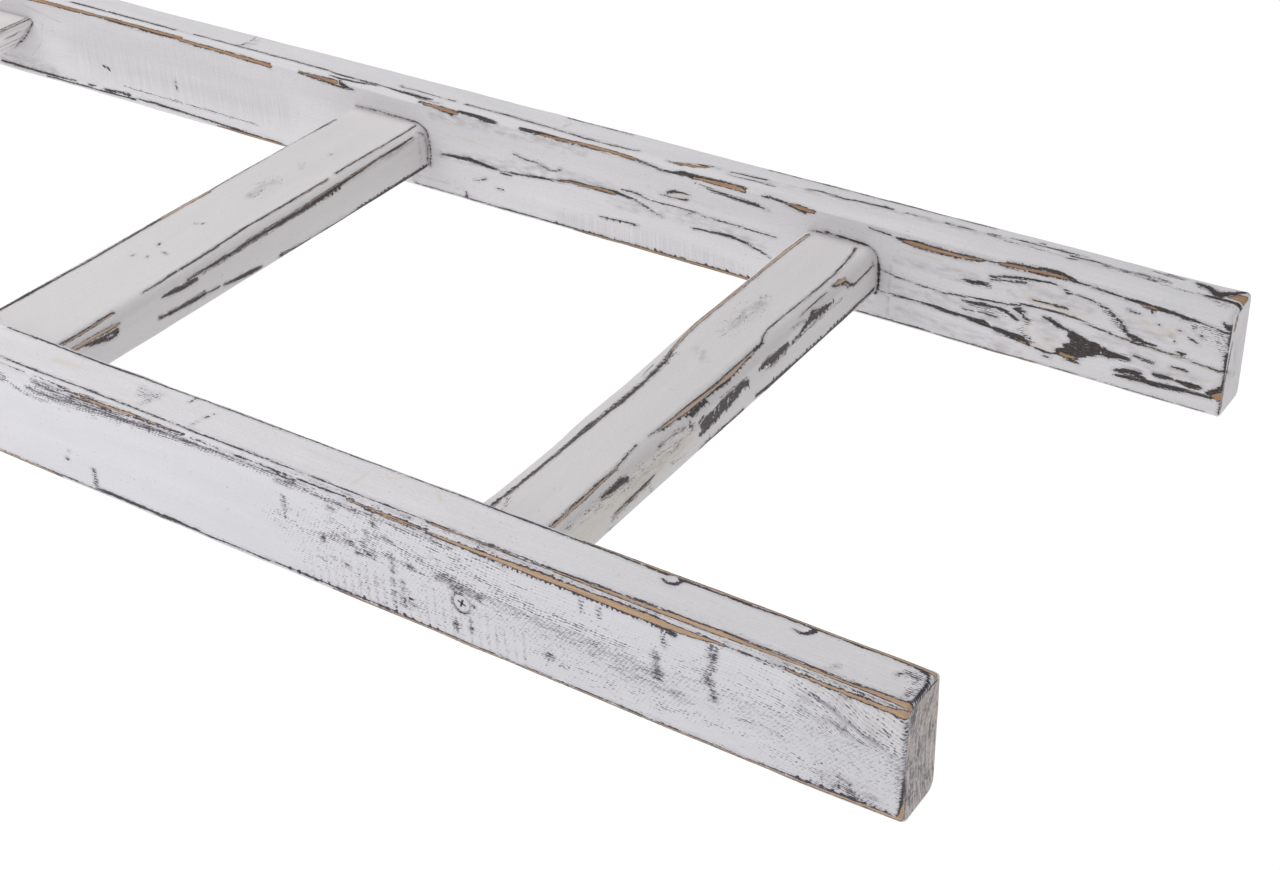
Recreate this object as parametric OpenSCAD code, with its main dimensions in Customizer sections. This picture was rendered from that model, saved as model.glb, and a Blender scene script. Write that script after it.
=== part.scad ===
// Rustic decorative ladder of painted wood: two rails, four rungs and the screws that join them.
// It lies on its back edges. Lengths are in millimetres.
// X runs from the head end to the foot end, Y from the left rail to the right rail and Z from back to front.
// The origin is on the floor under the middle of the ladder.

/* [Rails] */
// Length of a rail, which is the ladder's length
rail_length = 1524; // [1300:1:2100]
// Width over both rails
ladder_width = 406.5; // [260:0.5:700]
// Depth of a rail, from its back edge to its front edge
rail_depth = 66.5; // [50:0.5:110]
// Thickness of a rail
rail_thick = 31.5; // [20:0.5:45]
// Radius of the worn front edge on the outside of a rail
outer_front_round = 5; // [1:0.1:8]
// Radius of the worn front edge on the inside of a rail
inner_front_round = 5; // [1:0.1:8]
// Radius of the worn back edges of a rail
rail_back_round = 6; // [1:0.1:8]
// Radius of the worn edges round a rail's end faces
rail_end_round = 2.5; // [0.5:0.1:6]

/* [Rung places] */
// Foot end of the rails to the middle of rung 1
foot_gap = 235.5; // [90:0.5:400]
// Middle of rung 1 to the middle of rung 2
gap_1_2 = 341; // [120:1:480]
// Middle of rung 2 to the middle of rung 3. The rest of the length parts rung 3 from rung 4
gap_2_3 = 369; // [120:1:500]
// Middle of rung 4 to the head end of the rails
head_gap = 234; // [90:1:400]

/* [Rungs] */
// Thickness of the rungs, from back to front
rung_thick = 29.7; // [22:0.1:45]
// How far the rungs' middle stands forward of the rails' middle
rung_set = 0.8; // [-4:0.1:4]
// Width of rung 1
rung_1_width = 48; // [30:0.1:90]
// Width of rung 2
rung_2_width = 61.3; // [30:0.1:90]
// Width of rung 3
rung_3_width = 57; // [30:0.1:90]
// Width of rung 4
rung_4_width = 48; // [30:0.1:90]
// Edge radii of rung 1: back head side, back foot side, front foot side, front head side
rung_1_rounds = [4, 3.5, 8, 5]; // [1:0.5:10]
// Edge radii of rung 2, in the same order
rung_2_rounds = [4, 5, 7, 4]; // [1:0.5:10]
// Edge radii of rung 3, in the same order. The big one is a flat bevel
rung_3_rounds = [4, 25, 3, 5]; // [1:0.5:26]
// Edge radii of rung 4, in the same order
rung_4_rounds = [5, 4, 6, 6]; // [1:0.5:10]

/* [Screws] */
// Length of a screw
screw_length = 63; // [50:1:90]
// Diameter of a screw's plain shank and of its thread over the crests
shank_d = 4.8; // [3.5:0.1:5.5]
// Diameter of a screw's thread at its root
root_d = 3.4; // [2:0.1:3.5]
// Length of the plain shank, the head included
plain_length = 24; // [10:1:30]
// Distance from one thread crest to the next
thread_pitch = 2.6; // [1.5:0.1:4]
// Length of the pointed tip
tip_length = 6; // [3:0.5:10]
// Diameter of a screw's head
head_d = 9.5; // [7:0.1:12]
// Height of the rim round the head's top
head_rim = 0.5; // [0.2:0.1:1]
// Angle of the countersunk head
head_angle = 82; // [70:1:100]
// Depth of the head's top below the rail's outer face
head_sink = 0.5; // [0:0.1:2]
// How far the screws sit behind the rungs' middle
screw_drop = 6.8; // [0:0.1:7.5]
// How far the screws sit to the foot side of the rungs' middle
screw_shift = 2.5; // [-6:0.5:6]
// Length of each slot in the cross recess
cross_length = 5.2; // [3:0.1:6.5]
// Width of each slot in the cross recess
cross_width = 1.2; // [0.6:0.1:2]
// Depth of the cross recess
cross_depth = 2.2; // [1:0.1:3]
// Turn of the cross recess about the screw
cross_turn = 20; // [0:1:90]

/* [Fits] */
// Gap all round a screw in its bore and under its head
screw_gap = 0.1; // [0.05:0.05:0.5]

/* [Hidden] */
$fn = 48;

// Steps in the arc of a worn edge
arc_steps = 6;
// How far a cut runs past the face that it opens
overrun = 1;

paint = [0.86, 0.86, 0.88];
screw_paint = [0.74, 0.74, 0.76];

rung_length = ladder_width - 2 * rail_thick;
rung_widths = [rung_1_width, rung_2_width, rung_3_width, rung_4_width];
rung_rounds = [rung_1_rounds, rung_2_rounds, rung_3_rounds, rung_4_rounds];
// Steps round the back foot side edge of each rung: the single step on rung 3 makes its bevel
rung_edge_steps = [arc_steps, arc_steps, 1, arc_steps];
rung_1_x = rail_length / 2 - foot_gap;
rung_2_x = rung_1_x - gap_1_2;
rung_3_x = rung_2_x - gap_2_3;
rung_4_x = head_gap - rail_length / 2;
rung_places = [rung_1_x, rung_2_x, rung_3_x, rung_4_x];
screw_places = [for (x = rung_places) x + screw_shift];
rung_middle = rail_depth / 2 + rung_set;
screw_height = rung_middle - screw_drop;

// Height of a cone of the head's angle between two diameters
function cone_height(wide, narrow) = (wide - narrow) / 2 / tan(head_angle / 2);
bore_d = shank_d + 2 * screw_gap;
seat_d = head_d + 2 * screw_gap;
seat_height = cone_height(seat_d, bore_d);

// Arc of radius r about x, y, through a quarter turn from the angle given
function arc(x, y, r, from, steps = arc_steps) =
    [for (i = [0:steps]) [x, y] + r * [cos(from + 90 * i / steps), sin(from + 90 * i / steps)]];

// The radii r of a w by h rectangle's corners, shrunk together where two of them meet
function fitted(r, w, h) =
    r * min(1, w / (r[0] + r[1]), h / (r[1] + r[2]), w / (r[2] + r[3]), h / (r[3] + r[0]));

// Outline of a w by h rectangle with rounded corners, the first at 0, 0 and the others anticlockwise.
// The second corner has its own number of steps
function outline(w, h, r, steps) = concat(
    arc(r[0], r[0], r[0], 180),
    arc(w - r[1], r[1], r[1], 270, steps),
    arc(w - r[2], h - r[2], r[2], 0),
    arc(r[3], h - r[3], r[3], 90));

function worn_outline(w, h, r, steps = arc_steps) = outline(w, h, fitted(r, w, h), steps);
function worn_all_round(w, h, r) = worn_outline(w, h, [r, r, r, r]);

// A bar of rectangular stock along X whose every edge is worn
module rail_stock() {
    intersection() {
        rotate([90, 0, 90])
            linear_extrude(rail_length)
                polygon(worn_outline(rail_thick, rail_depth,
                    [rail_back_round, rail_back_round, inner_front_round, outer_front_round]));
        translate([0, rail_thick, 0])
            rotate([90, 0, 0])
                linear_extrude(rail_thick)
                    polygon(worn_all_round(rail_length, rail_depth, rail_end_round));
        linear_extrude(rail_depth)
            polygon(worn_all_round(rail_length, rail_thick, rail_end_round));
    }
}

// Clearance bore along Y with a seat for the head, opening in the plane y = 0
module screw_bore() {
    rotate([-90, 0, 0]) {
        translate([0, 0, -overrun])
            cylinder(h = rail_thick + 2 * overrun, d = bore_d);
        translate([0, 0, head_sink + head_rim])
            cylinder(h = seat_height, d1 = seat_d, d2 = bore_d);
        translate([0, 0, -overrun])
            cylinder(h = overrun + head_sink + head_rim, d = seat_d);
    }
}

// The left rail, with its outer face in the plane y = 0 before it is placed
module rail() {
    translate([0, -ladder_width / 2, 0])
        difference() {
            translate([-rail_length / 2, 0, 0])
                rail_stock();
            for (x = screw_places)
                translate([x, 0, screw_height])
                    screw_bore();
        }
}

// Pilot bore for the screw that enters a rung's end at y = 0 and runs along Y
module pilot_bore() {
    reach = head_sink + screw_length - rail_thick + screw_gap;
    translate([0, -overrun, 0])
        rotate([-90, 0, 0]) {
            cylinder(h = overrun + reach - tip_length, d = bore_d);
            translate([0, 0, overrun + reach - tip_length])
                cylinder(h = tip_length, d1 = bore_d, d2 = 0);
        }
}

module rung(i) {
    width = rung_widths[i];
    difference() {
        translate([rung_places[i] - width / 2, rung_length / 2, rung_middle - rung_thick / 2])
            rotate([90, 0, 0])
                linear_extrude(rung_length)
                    polygon(worn_outline(width, rung_thick, rung_rounds[i], rung_edge_steps[i]));
        for (side = [0, 1])
            mirror([0, side, 0])
                translate([screw_places[i], -rung_length / 2, screw_height])
                    pilot_bore();
    }
}

// Where the thread's root starts and ends, in shares of the way from one crest to the next
root_start_share = 0.2;
root_end_share = 0.6;
thread_length = screw_length - plain_length - tip_length;
threads = max(1, floor(thread_length / thread_pitch));
thread_step = thread_length / threads;

// Half the section of a screw, as [radius, depth below the top of the head]
function screw_section() = concat(
    [[0, 0], [head_d / 2, 0], [head_d / 2, head_rim],
     [shank_d / 2, head_rim + cone_height(head_d, shank_d)], [shank_d / 2, plain_length]],
    [for (i = [0:threads - 1], point = [[root_d, root_start_share], [root_d, root_end_share], [shank_d, 1]])
        [point[0] / 2, plain_length + (i + point[1]) * thread_step]],
    [[0, screw_length]]);

// A screw along Y, its head at y = head_sink
module screw() {
    translate([0, head_sink, 0])
        rotate([-90, 0, 0])
            difference() {
                rotate_extrude()
                    polygon(screw_section());
                for (turn = [0, 90])
                    rotate([0, 0, cross_turn + turn])
                        translate([-cross_length / 2, -cross_width / 2, -overrun])
                            cube([cross_length, cross_width, overrun + cross_depth]);
            }
}

module screws() {
    for (x = screw_places)
        translate([x, -ladder_width / 2, screw_height])
            screw();
}

module left_rail() { color(paint) rail(); }
module right_rail() { color(paint) mirror([0, 1, 0]) rail(); }
module rung_1() { color(paint) rung(0); }
module rung_2() { color(paint) rung(1); }
module rung_3() { color(paint) rung(2); }
module rung_4() { color(paint) rung(3); }
module left_rail_screws() { color(screw_paint) screws(); }
module right_rail_screws() { color(screw_paint) mirror([0, 1, 0]) screws(); }

left_rail();
right_rail();
rung_1();
rung_2();
rung_3();
rung_4();
left_rail_screws();
right_rail_screws();
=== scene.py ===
"""The looks of a rustic ladder: rubbed white paint over charcoal over wood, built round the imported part."""
import math

import bpy
import numpy as np
from mathutils import Matrix, Vector


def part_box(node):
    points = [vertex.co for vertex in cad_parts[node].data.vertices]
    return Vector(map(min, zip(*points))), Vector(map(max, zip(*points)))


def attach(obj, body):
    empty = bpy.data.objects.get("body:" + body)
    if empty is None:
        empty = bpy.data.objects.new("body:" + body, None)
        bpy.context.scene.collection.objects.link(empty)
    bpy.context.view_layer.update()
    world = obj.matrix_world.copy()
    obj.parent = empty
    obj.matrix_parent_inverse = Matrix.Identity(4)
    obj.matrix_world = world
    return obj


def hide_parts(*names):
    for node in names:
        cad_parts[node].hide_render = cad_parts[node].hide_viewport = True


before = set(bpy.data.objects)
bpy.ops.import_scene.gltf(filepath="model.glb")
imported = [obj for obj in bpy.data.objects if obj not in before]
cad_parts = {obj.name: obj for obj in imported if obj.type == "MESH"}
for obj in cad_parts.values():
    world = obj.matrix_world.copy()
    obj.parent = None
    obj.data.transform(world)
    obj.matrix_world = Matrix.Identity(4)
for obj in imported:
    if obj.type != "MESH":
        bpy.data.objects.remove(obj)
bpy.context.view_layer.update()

# Lengths in this script are in millimetres unless a name says otherwise. Blender's own are in metres.
MM = 0.001

# The camera stands where the photograph was taken from. Its place is in metres and its turns are in radians.
CAMERA_PLACE = (1.0458, -0.8080, 0.6374)
CAMERA_YAW = 2.16873
CAMERA_PITCH = 0.58004
CAMERA_ROLL = -0.03025
CAMERA_LENS = 59.44
CAMERA_SENSOR = 36.0
CAMERA_NEAR = 0.01

# Wear on one side of a bar is written as strokes: a kind, then the points of its path, parted by commas.
# A point is its place along the bar, its place across that side and the stroke's radius there.
# Hard kinds end at their radius: K charcoal shows, T bare wood shows inside a charcoal rim, W white stays.
# Soft kinds fade out to it: H rows of dashes where the brush skipped, S the same but sparser, G grey haze,
# which is grime on open faces and painted shade beside and under the rungs, Y yellow stain, C ragged teeth,
# D dent, B bump.
# On a rail, along runs from the foot end. Across runs up from the floor, or over the front from the left
# rail's outer face and from the right rail's inner one.
# On a rung, along runs from the left rail's outer face, and across runs up, or from the foot side to the head
# side.


def read_strokes(text):
    """Written strokes as (kind, [(along, across, radius)...]), without the notes that a # starts."""
    found = []
    for line in text.splitlines():
        for word in line.split("#")[0].replace(",", " ").split():
            if word.isalpha():
                found.append((word, []))
            else:
                found[-1][1].append(float(word))
    return [(kind, [tuple(values[i:i + 3]) for i in range(0, len(values), 3)]) for kind, values in found]


def saw_marks(start, end, pitch):
    """Marks of a saw's teeth across the left rail's outer face."""
    strokes = []
    for a in np.arange(start, end, pitch):
        strokes.append(("S", [(a, 29, 1), (a + 0.5, 17, 1.8), (a, 6, 1.6)]))
        strokes.append(("G", [(a, 26, 0.4), (a + 0.5, 17, 0.8), (a, 6, 0.8)]))
    return strokes


def dash_columns(text):
    """Columns of sloping dashes, each written as its place along, half a dash's length and the heights."""
    strokes = []
    for column in text.split(","):
        a, half, *heights = [float(word) for word in column.split()]
        for b in heights:
            dash = [(a + half, b + 0.3, 0.25 * half - 0.25), (a - half, b - 0.3, 0.25 * half - 0.05)]
            strokes.append(("K", dash))
        strokes.append(("H", [(a, heights[0], 1.6 + half), (a, heights[-1], 1.6 + half)]))
    return strokes


LEFT_OUTER = read_strokes("""
    # Front edge, from rung 1 to the foot end
    T 250 62.4 .2, 225 62.2 .7, 200 62.3 1.2, 160 62.4 1.3, 125 62.1 1.6, 112 62 1.3, 100 62.7 .8,
      88 63.2 .3  K 252 61.6 .2, 215 61 .5, 200 60.6 .3, 160 60.6 .3, 125 60 .4, 113 59.2 .9
    C 230 60 1.2, 172 60 1.6, 160 60 2.4, 112 58 2  K 120 58.6 .5, 113 58 .5  K 213 60 .1, 206 59 .4
    K 90 63.4 .25, 55 63.5 .3  T 58 63.3 .2, 40 63.1 .6, 25 62.9 .7, 12 62.8 .8, 0 63 1.8
    K 31 61.6 .5, 26 61 .5  H 30 60.6 2, 27 59.4 2
    # Front edge beyond rung 1
    K 304 62.6 0, 290 62.4 .3, 280 62.2 .7, 262 61.8 .6, 250 61.8 .2
    W 300 61.4 .15, 285 61.2 .3, 262 61.8 .2  T 298 63.4 .1, 270 63.4 .25, 250 63.2 .2
    T 288 61.9 .1, 262 62 .2
    # Faint lines beside it
    K 345 65.8 -.4, 300 66 -.2, 240 65.6 -.3, 180 65.4 -.2, 110 65.6 -.3
    K 330 67 -.4, 270 66.9 -.2, 235 67 -.4  K 96 65.2 -.3, 50 65.6 -.2, 12 65 -.3
    K 70 67.2 -.4, 40 67 -.2, 8 66.4 -.4  K 325 60.3 -.2, 300 59.8 -.1, 270 59.2 0, 256 59 -.2
    K 319 60.6 -.2, 300 59 -.1, 290 57.8 -.3  K 320 58.6 -.3, 303 58.4 -.1, 291 57 -.3
    K 272 59.8 .2, 268 59.4 .1  K 259 60.2 -.2, 248 58.8 0, 238 58.4 -.3  K 400 64 0, 345 64 .1, 300 64.2 .2
    K 343 62.2 .5, 331 62 1.2  K 345 60 0, 332 59.9 .1  K 345 58 -.2, 336 57.3 0
    # Front edge between rungs 1 and 2, and what hangs below it
    K 560 64.8 -.1, 516 64.8 -.2, 480 64.8 -.1, 440 64.8 -.2
    T 493 64 -.1, 478 63.4 .1, 462 63.3 .25, 440 63.9 .2, 420 64.1 0, 405 64.2 -.1
    T 484 61.9 .1, 470 61.9 .2, 455 62.2 .1
    K 513 63 -.2, 500 62.8 .1, 480 61.8 .3, 455 62 .3, 430 62.9 .2, 405 63.4 .1
    H 514 61 1.4, 500 60.8 1.6, 484 60 1.6  K 512 60.6 -.2, 498 60.2 0, 486 59.6 -.1
    W 500 61.4 .1, 480 60.3 .25, 450 60.6 .4, 425 61.6 .3, 400 62.8 .3, 360 63 .25, 318 63 .2
    K 495 58 -.2, 478 58.4 -.1, 455 59.8 .1, 430 60.9 .3, 400 61.7 .3, 370 62 .2, 340 62 .1, 318 62.2 0
    W 500 58.8 .15, 480 59 .2, 455 60.6 .15  W 505 56.2 .2, 480 57 .2, 455 58.6 .2  K 545 62 .6, 541 60 .6
    K 540 57.4 .2, 536 57 .1  K 541 54.6 .1, 537 54.4 0
    # Rows of dashes
    H 538 57 4, 532 54 3, 524 51.6 2.4, 512 51.4 3, 500 51.6 2
    H 515 55 6, 500 55.4 7, 480 56.6 6.4, 460 57.6 5.6, 440 58.6 4.6, 410 60 4, 380 60.6 3, 345 60.6 3
    H 514 61.4 2.4, 498 61.4 3  H 345 59 3, 320 59.5 3, 290 57 3, 250 58 2.4, 210 57 2
    H 322 35 3, 305 37 6, 290 36 6, 276 39 4
    H 285 51 3, 272 47 3.4, 256 43.5 5, 240 39 7, 220 38 8, 195 36 11, 170 34 13, 140 32 12, 122 31 8
    H 285 39 3, 262 36.6 3.4, 245 36 4  H 240 54 2, 222 47 3.4, 200 43 3.4, 180 42 3, 140 41 3
    S 190 17 9, 150 16 9, 110 16 8, 85 18 5  H 150 26 3, 132 25 7, 112 25 6, 104 24 3
    # Rows that sink towards the foot end
    H 82 25 1.6, 72 27 2, 58 26 1.8  S 57 58 1.2, 45 55.5 1.6, 33 51 2, 26 47 2, 12 41.5 1.4, 0 38 1.2
    K 46 55.8 .1, 40 53.6 .3, 33 50.8 .15  K 31 50 .15, 27 47.6 .35, 22 45.4 .15
    K 21 45 -.2, 14 42.4 .1, 6 39.4 -.2  K 38 45.2 -.2, 28 42.2 .1, 20 39.6 -.2
    S 62 51 1.2, 45 48.4 1.6, 30 43.5 1.8, 12 37 1.4, 0 34 1  H 33 9 5, 30 13 6, 24 9 5, 12 9 4
    # Sparse dashes
    H 12 56 3, 3 40 3, 3 20 3  S 0 38 46, 30 36 46, 60 38 40, 85 34 24  S 20 14 20, 60 15 14
    S 50 56 8, 20 56 10  S 100 40 18, 120 30 26, 180 30 30, 230 42 34, 280 44 26, 310 46 18
    S 210 54 10, 250 54 10  S 240 16 9, 280 16 12, 310 20 12, 335 20 6  S 352 36 6, 340 34 16, 320 34 22
    # Haze, drips and single specks
    G 245 38 3, 234 36 5, 222 36 4  H 246 39 3, 234 36.6 4, 222 35.4 3  H 164 59 1, 163.4 51 1.2
    H 154 59 1, 153 51 1.2  K 498 17.6 .6, 496.6 17.6 .6  K 495 23.4 .4, 494.8 23.4 .4
    K 312 54.4 .6, 308 54.2 .5  K 277 48.6 .7, 272.6 48 .4  K 284 54.6 .5, 282 54.4 .5
    K 257 44.2 .6, 256 44 .5  K 304 22.5 .8, 302.6 22.6 .7  K 233 54 .4, 232 53.8 .5
    K 265 17.6 .6, 263.6 17.4 .6  K 238 13.4 .6, 236.6 13.4 .5  K 269 16 .5, 268 15.6 .4
    K 228.6 14 .5, 227 14.6 .4  K 182 18.4 .5, 181 17.4 .9  K 262.6 14 .5, 262 13.6 .5
    K 296 33 .7, 293 33 .5  K 300 38.4 .6, 298 38 .5  K 263.4 37.6 .7, 261 37.4 .6
    K 318 33.6 .5, 316.6 33.4 .5  K 290 35 .4, 288 34.6 .6  K 309 40 .5, 307.6 39.6 .4
    K 226 28.8 .5, 225.2 28.2 .6  G 45 50 14, 20 46 14  G 36 12 9, 14 10 9
    # Back edge
    K 560 4.6 .2, 480 4.5 .2, 400 4.4 .3, 340 5 .4, 290 5.4 .5, 250 4.7 .4, 225 4.1 .3, 150 4.2 .35,
      90 4.2 .35, 60 4.6 .3, 40 5.2 .3, 31 5.8 .8, 26 6 .8, 15 5.8 .3, 0 6.8 .3  C 345 6 2.4, 250 6 2.4
    K 478 5.6 .5, 458 5.4 1.2, 440 5 .9, 424 5.2 1.2, 404 5 .6  T 560 3.4 .6, 505 3.2 .4
    C 50 6 1.4, 0 8 1.4  T 315 3.4 .3, 270 3.4 .6, 225 3 .5, 140 2.8 .5, 60 3.2 .4, 30 4.4 .4, 0 4.8 1
    # Rim of the foot end
    K .2 57 .5, -.2 40 .3, .2 20 .5, 1 9 .7  T 0 13 .3, 0 8 1.1, 1 4.8 1.5
    # Charcoal under the front edge, cut into rows where the brush skipped
    K 512 60.6 .2, 500 59.4 1, 482 58.6 1.9, 462 59.2 1.8, 440 60.2 1.3, 415 61.2 .9, 380 61.8 .5, 345 62 .2
    K 520 55.4 .1, 500 55.6 .6, 480 57 .5, 455 58.2 .2
""")
# From one mark of the saw's teeth to the next, and the stretch of the left rail that they cross
SAW_PITCH = 5.2
SAW_START, SAW_END = 197, 342
LEFT_OUTER += saw_marks(SAW_START, SAW_END, SAW_PITCH)
LEFT_OUTER += dash_columns("""
    94 2 60.6 58.6 57 55.4 53.8 52.4, 94.4 1.2 51 49.4 47.6, 96 1.9 44.2 42.8 41.4 40 38.6 37.4,
    93.4 1.3 35.4 33.8 32.2 30.6, 119 .6 59 57.2 55.4 53.6 51.6 49.6, 123.4 1.3 44.4 43 41.6 40.2,
    123 1.7 37 35.6 34.2 32.8 30.2, 340.8 .7 49.8 48.6 47.2 45.8 44.2, 340.6 .4 42 40 38,
    285 .4 41 38 35.6 33.4, 274 .6 41 39.4 37.8 35.2 32 30, 274.4 .6 27 25.4 23.8 21.6 18.4 16 12 9.4,
    268.4 .6 26 22.6 19 16.4 13.6 11.6, 478 1 17.8 15.8 14.2 12.4 10.6 9 7.4, 288.4 .5 49 46.6 44,
    290.4 .7 40.6 38 36.2, 247 .7 39 36.8, 243 1.2 40 37.6, 238 1.4 39 37 35, 233 1.6 37.4 35.2 33.6,
    228 1.4 36.6 34.6, 222 1.2 35.6 33.6, 240.6 .8 41.4, 236 .9 40.4 33.2,
    30.4 .6 15 13 11 9.4, 25 .6 13.4 11 9, 317 .6 36 34.8 32.6, 302.6 .6 41 36.6,
    163 .3 58 55 52, 153.6 .3 57 54.4 52, 184 .4 18.6 16.6 14, 237 .4 17 11 9, 228 .4 18.6 11.4
""")
LEFT_TOP = read_strokes("""
    # Inner front edge and the rim of the foot end
    K 560 27.6 .4, 500 27 .6, 420 27.6 .4, 330 28 .4, 260 28 .3, 230 27.7 .5, 180 27.6 .5, 130 26.9 .6,
      60 27.5 .6, 10 27.3 .7, 3 25 .8, 1 20 .8, .6 8 .8, 2 4.6 .8
    T 180 29 .2, 140 28.6 .6, 60 28.9 .6, 8 28.6 .9, -1 27 1  T -1.5 26 .7, -1.5 4 .9
    T 4.5 -2.4 .3, 2 -2.4 1.4, -1 -2.4 2.4
    # Outer front edge
    K 560 3.6 .3, 480 3.8 .3, 400 3.3 .3, 260 3.4 .3, 230 3.6 .4, 200 3.4 .4, 180 3.4 .5, 150 4 .3,
      120 4.6 .4, 80 4.9 .5, 40 4.4 .4, 20 4.4 .3, 0 5.6 .6
    T 252 2.6 .1, 240 2.3 .35, 215 2.4 .25, 200 2.6 .1
    T 182 2.6 .1, 165 2.6 .4, 120 3 1, 95 3.4 1, 60 3.3 .5, 25 3.1 .4, 8 3.4 1, -1 3 2
    K 190 2 .3, 150 1 .35, 125 .9 .3, 90 1.6 .15  K 250 1.4 .2, 215 1.6 .25, 190 1.4 .2
    K 60 -.6 .2, 0 -.6 .3
    # Two dents beside the inner edge
    W 132.4 25 2.2, 129.6 25.4 2.2  K 134 23.2 .2, 130.5 21.3 .6, 127 22.2 1, 125.4 25.6 1
    D 131 24.8 3.2, 130 25 3.2  W 64.6 24.6 2.7, 63.4 24.6 2.7
    K 66 22 .1, 62.6 21.4 .4, 59.8 22.6 .9, 58.4 25 1.5, 57.6 26.6 1.4  D 64 24.6 3.2, 62.6 24.8 3.2
    # Marks at the foot end
    K 14 18.2 .7, 12 21 .6, 9.4 22 .5, 8.6 20.6 .3  H 12 23 3, 6 20 5, 4 10 3  K 4.6 8.6 .8, 3.6 7.6 .6
    K 6 20.6 .5, 5 18.6 .5
    # Thin lines, haze and stains
    K 420 27 .4, 420.4 22.4 .3  G 452 20 4, 446 16 6, 438 20 5, 440 9 5
    H 452 20 2, 447 14 4.4, 439 18 4, 440.6 10 3  K 402 20 .12, 404 14 .14, 404.6 5 .12
    Y 302 7 1.5, 300 26 .8, 294 20 .8, 285 24 1.4  Y 262 25 1.5, 255 18 1.5  Y 512 16 3, 495 17 3
    K 40 8 .2, 37.6 10 .2, 38 11 .2
""")
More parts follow.
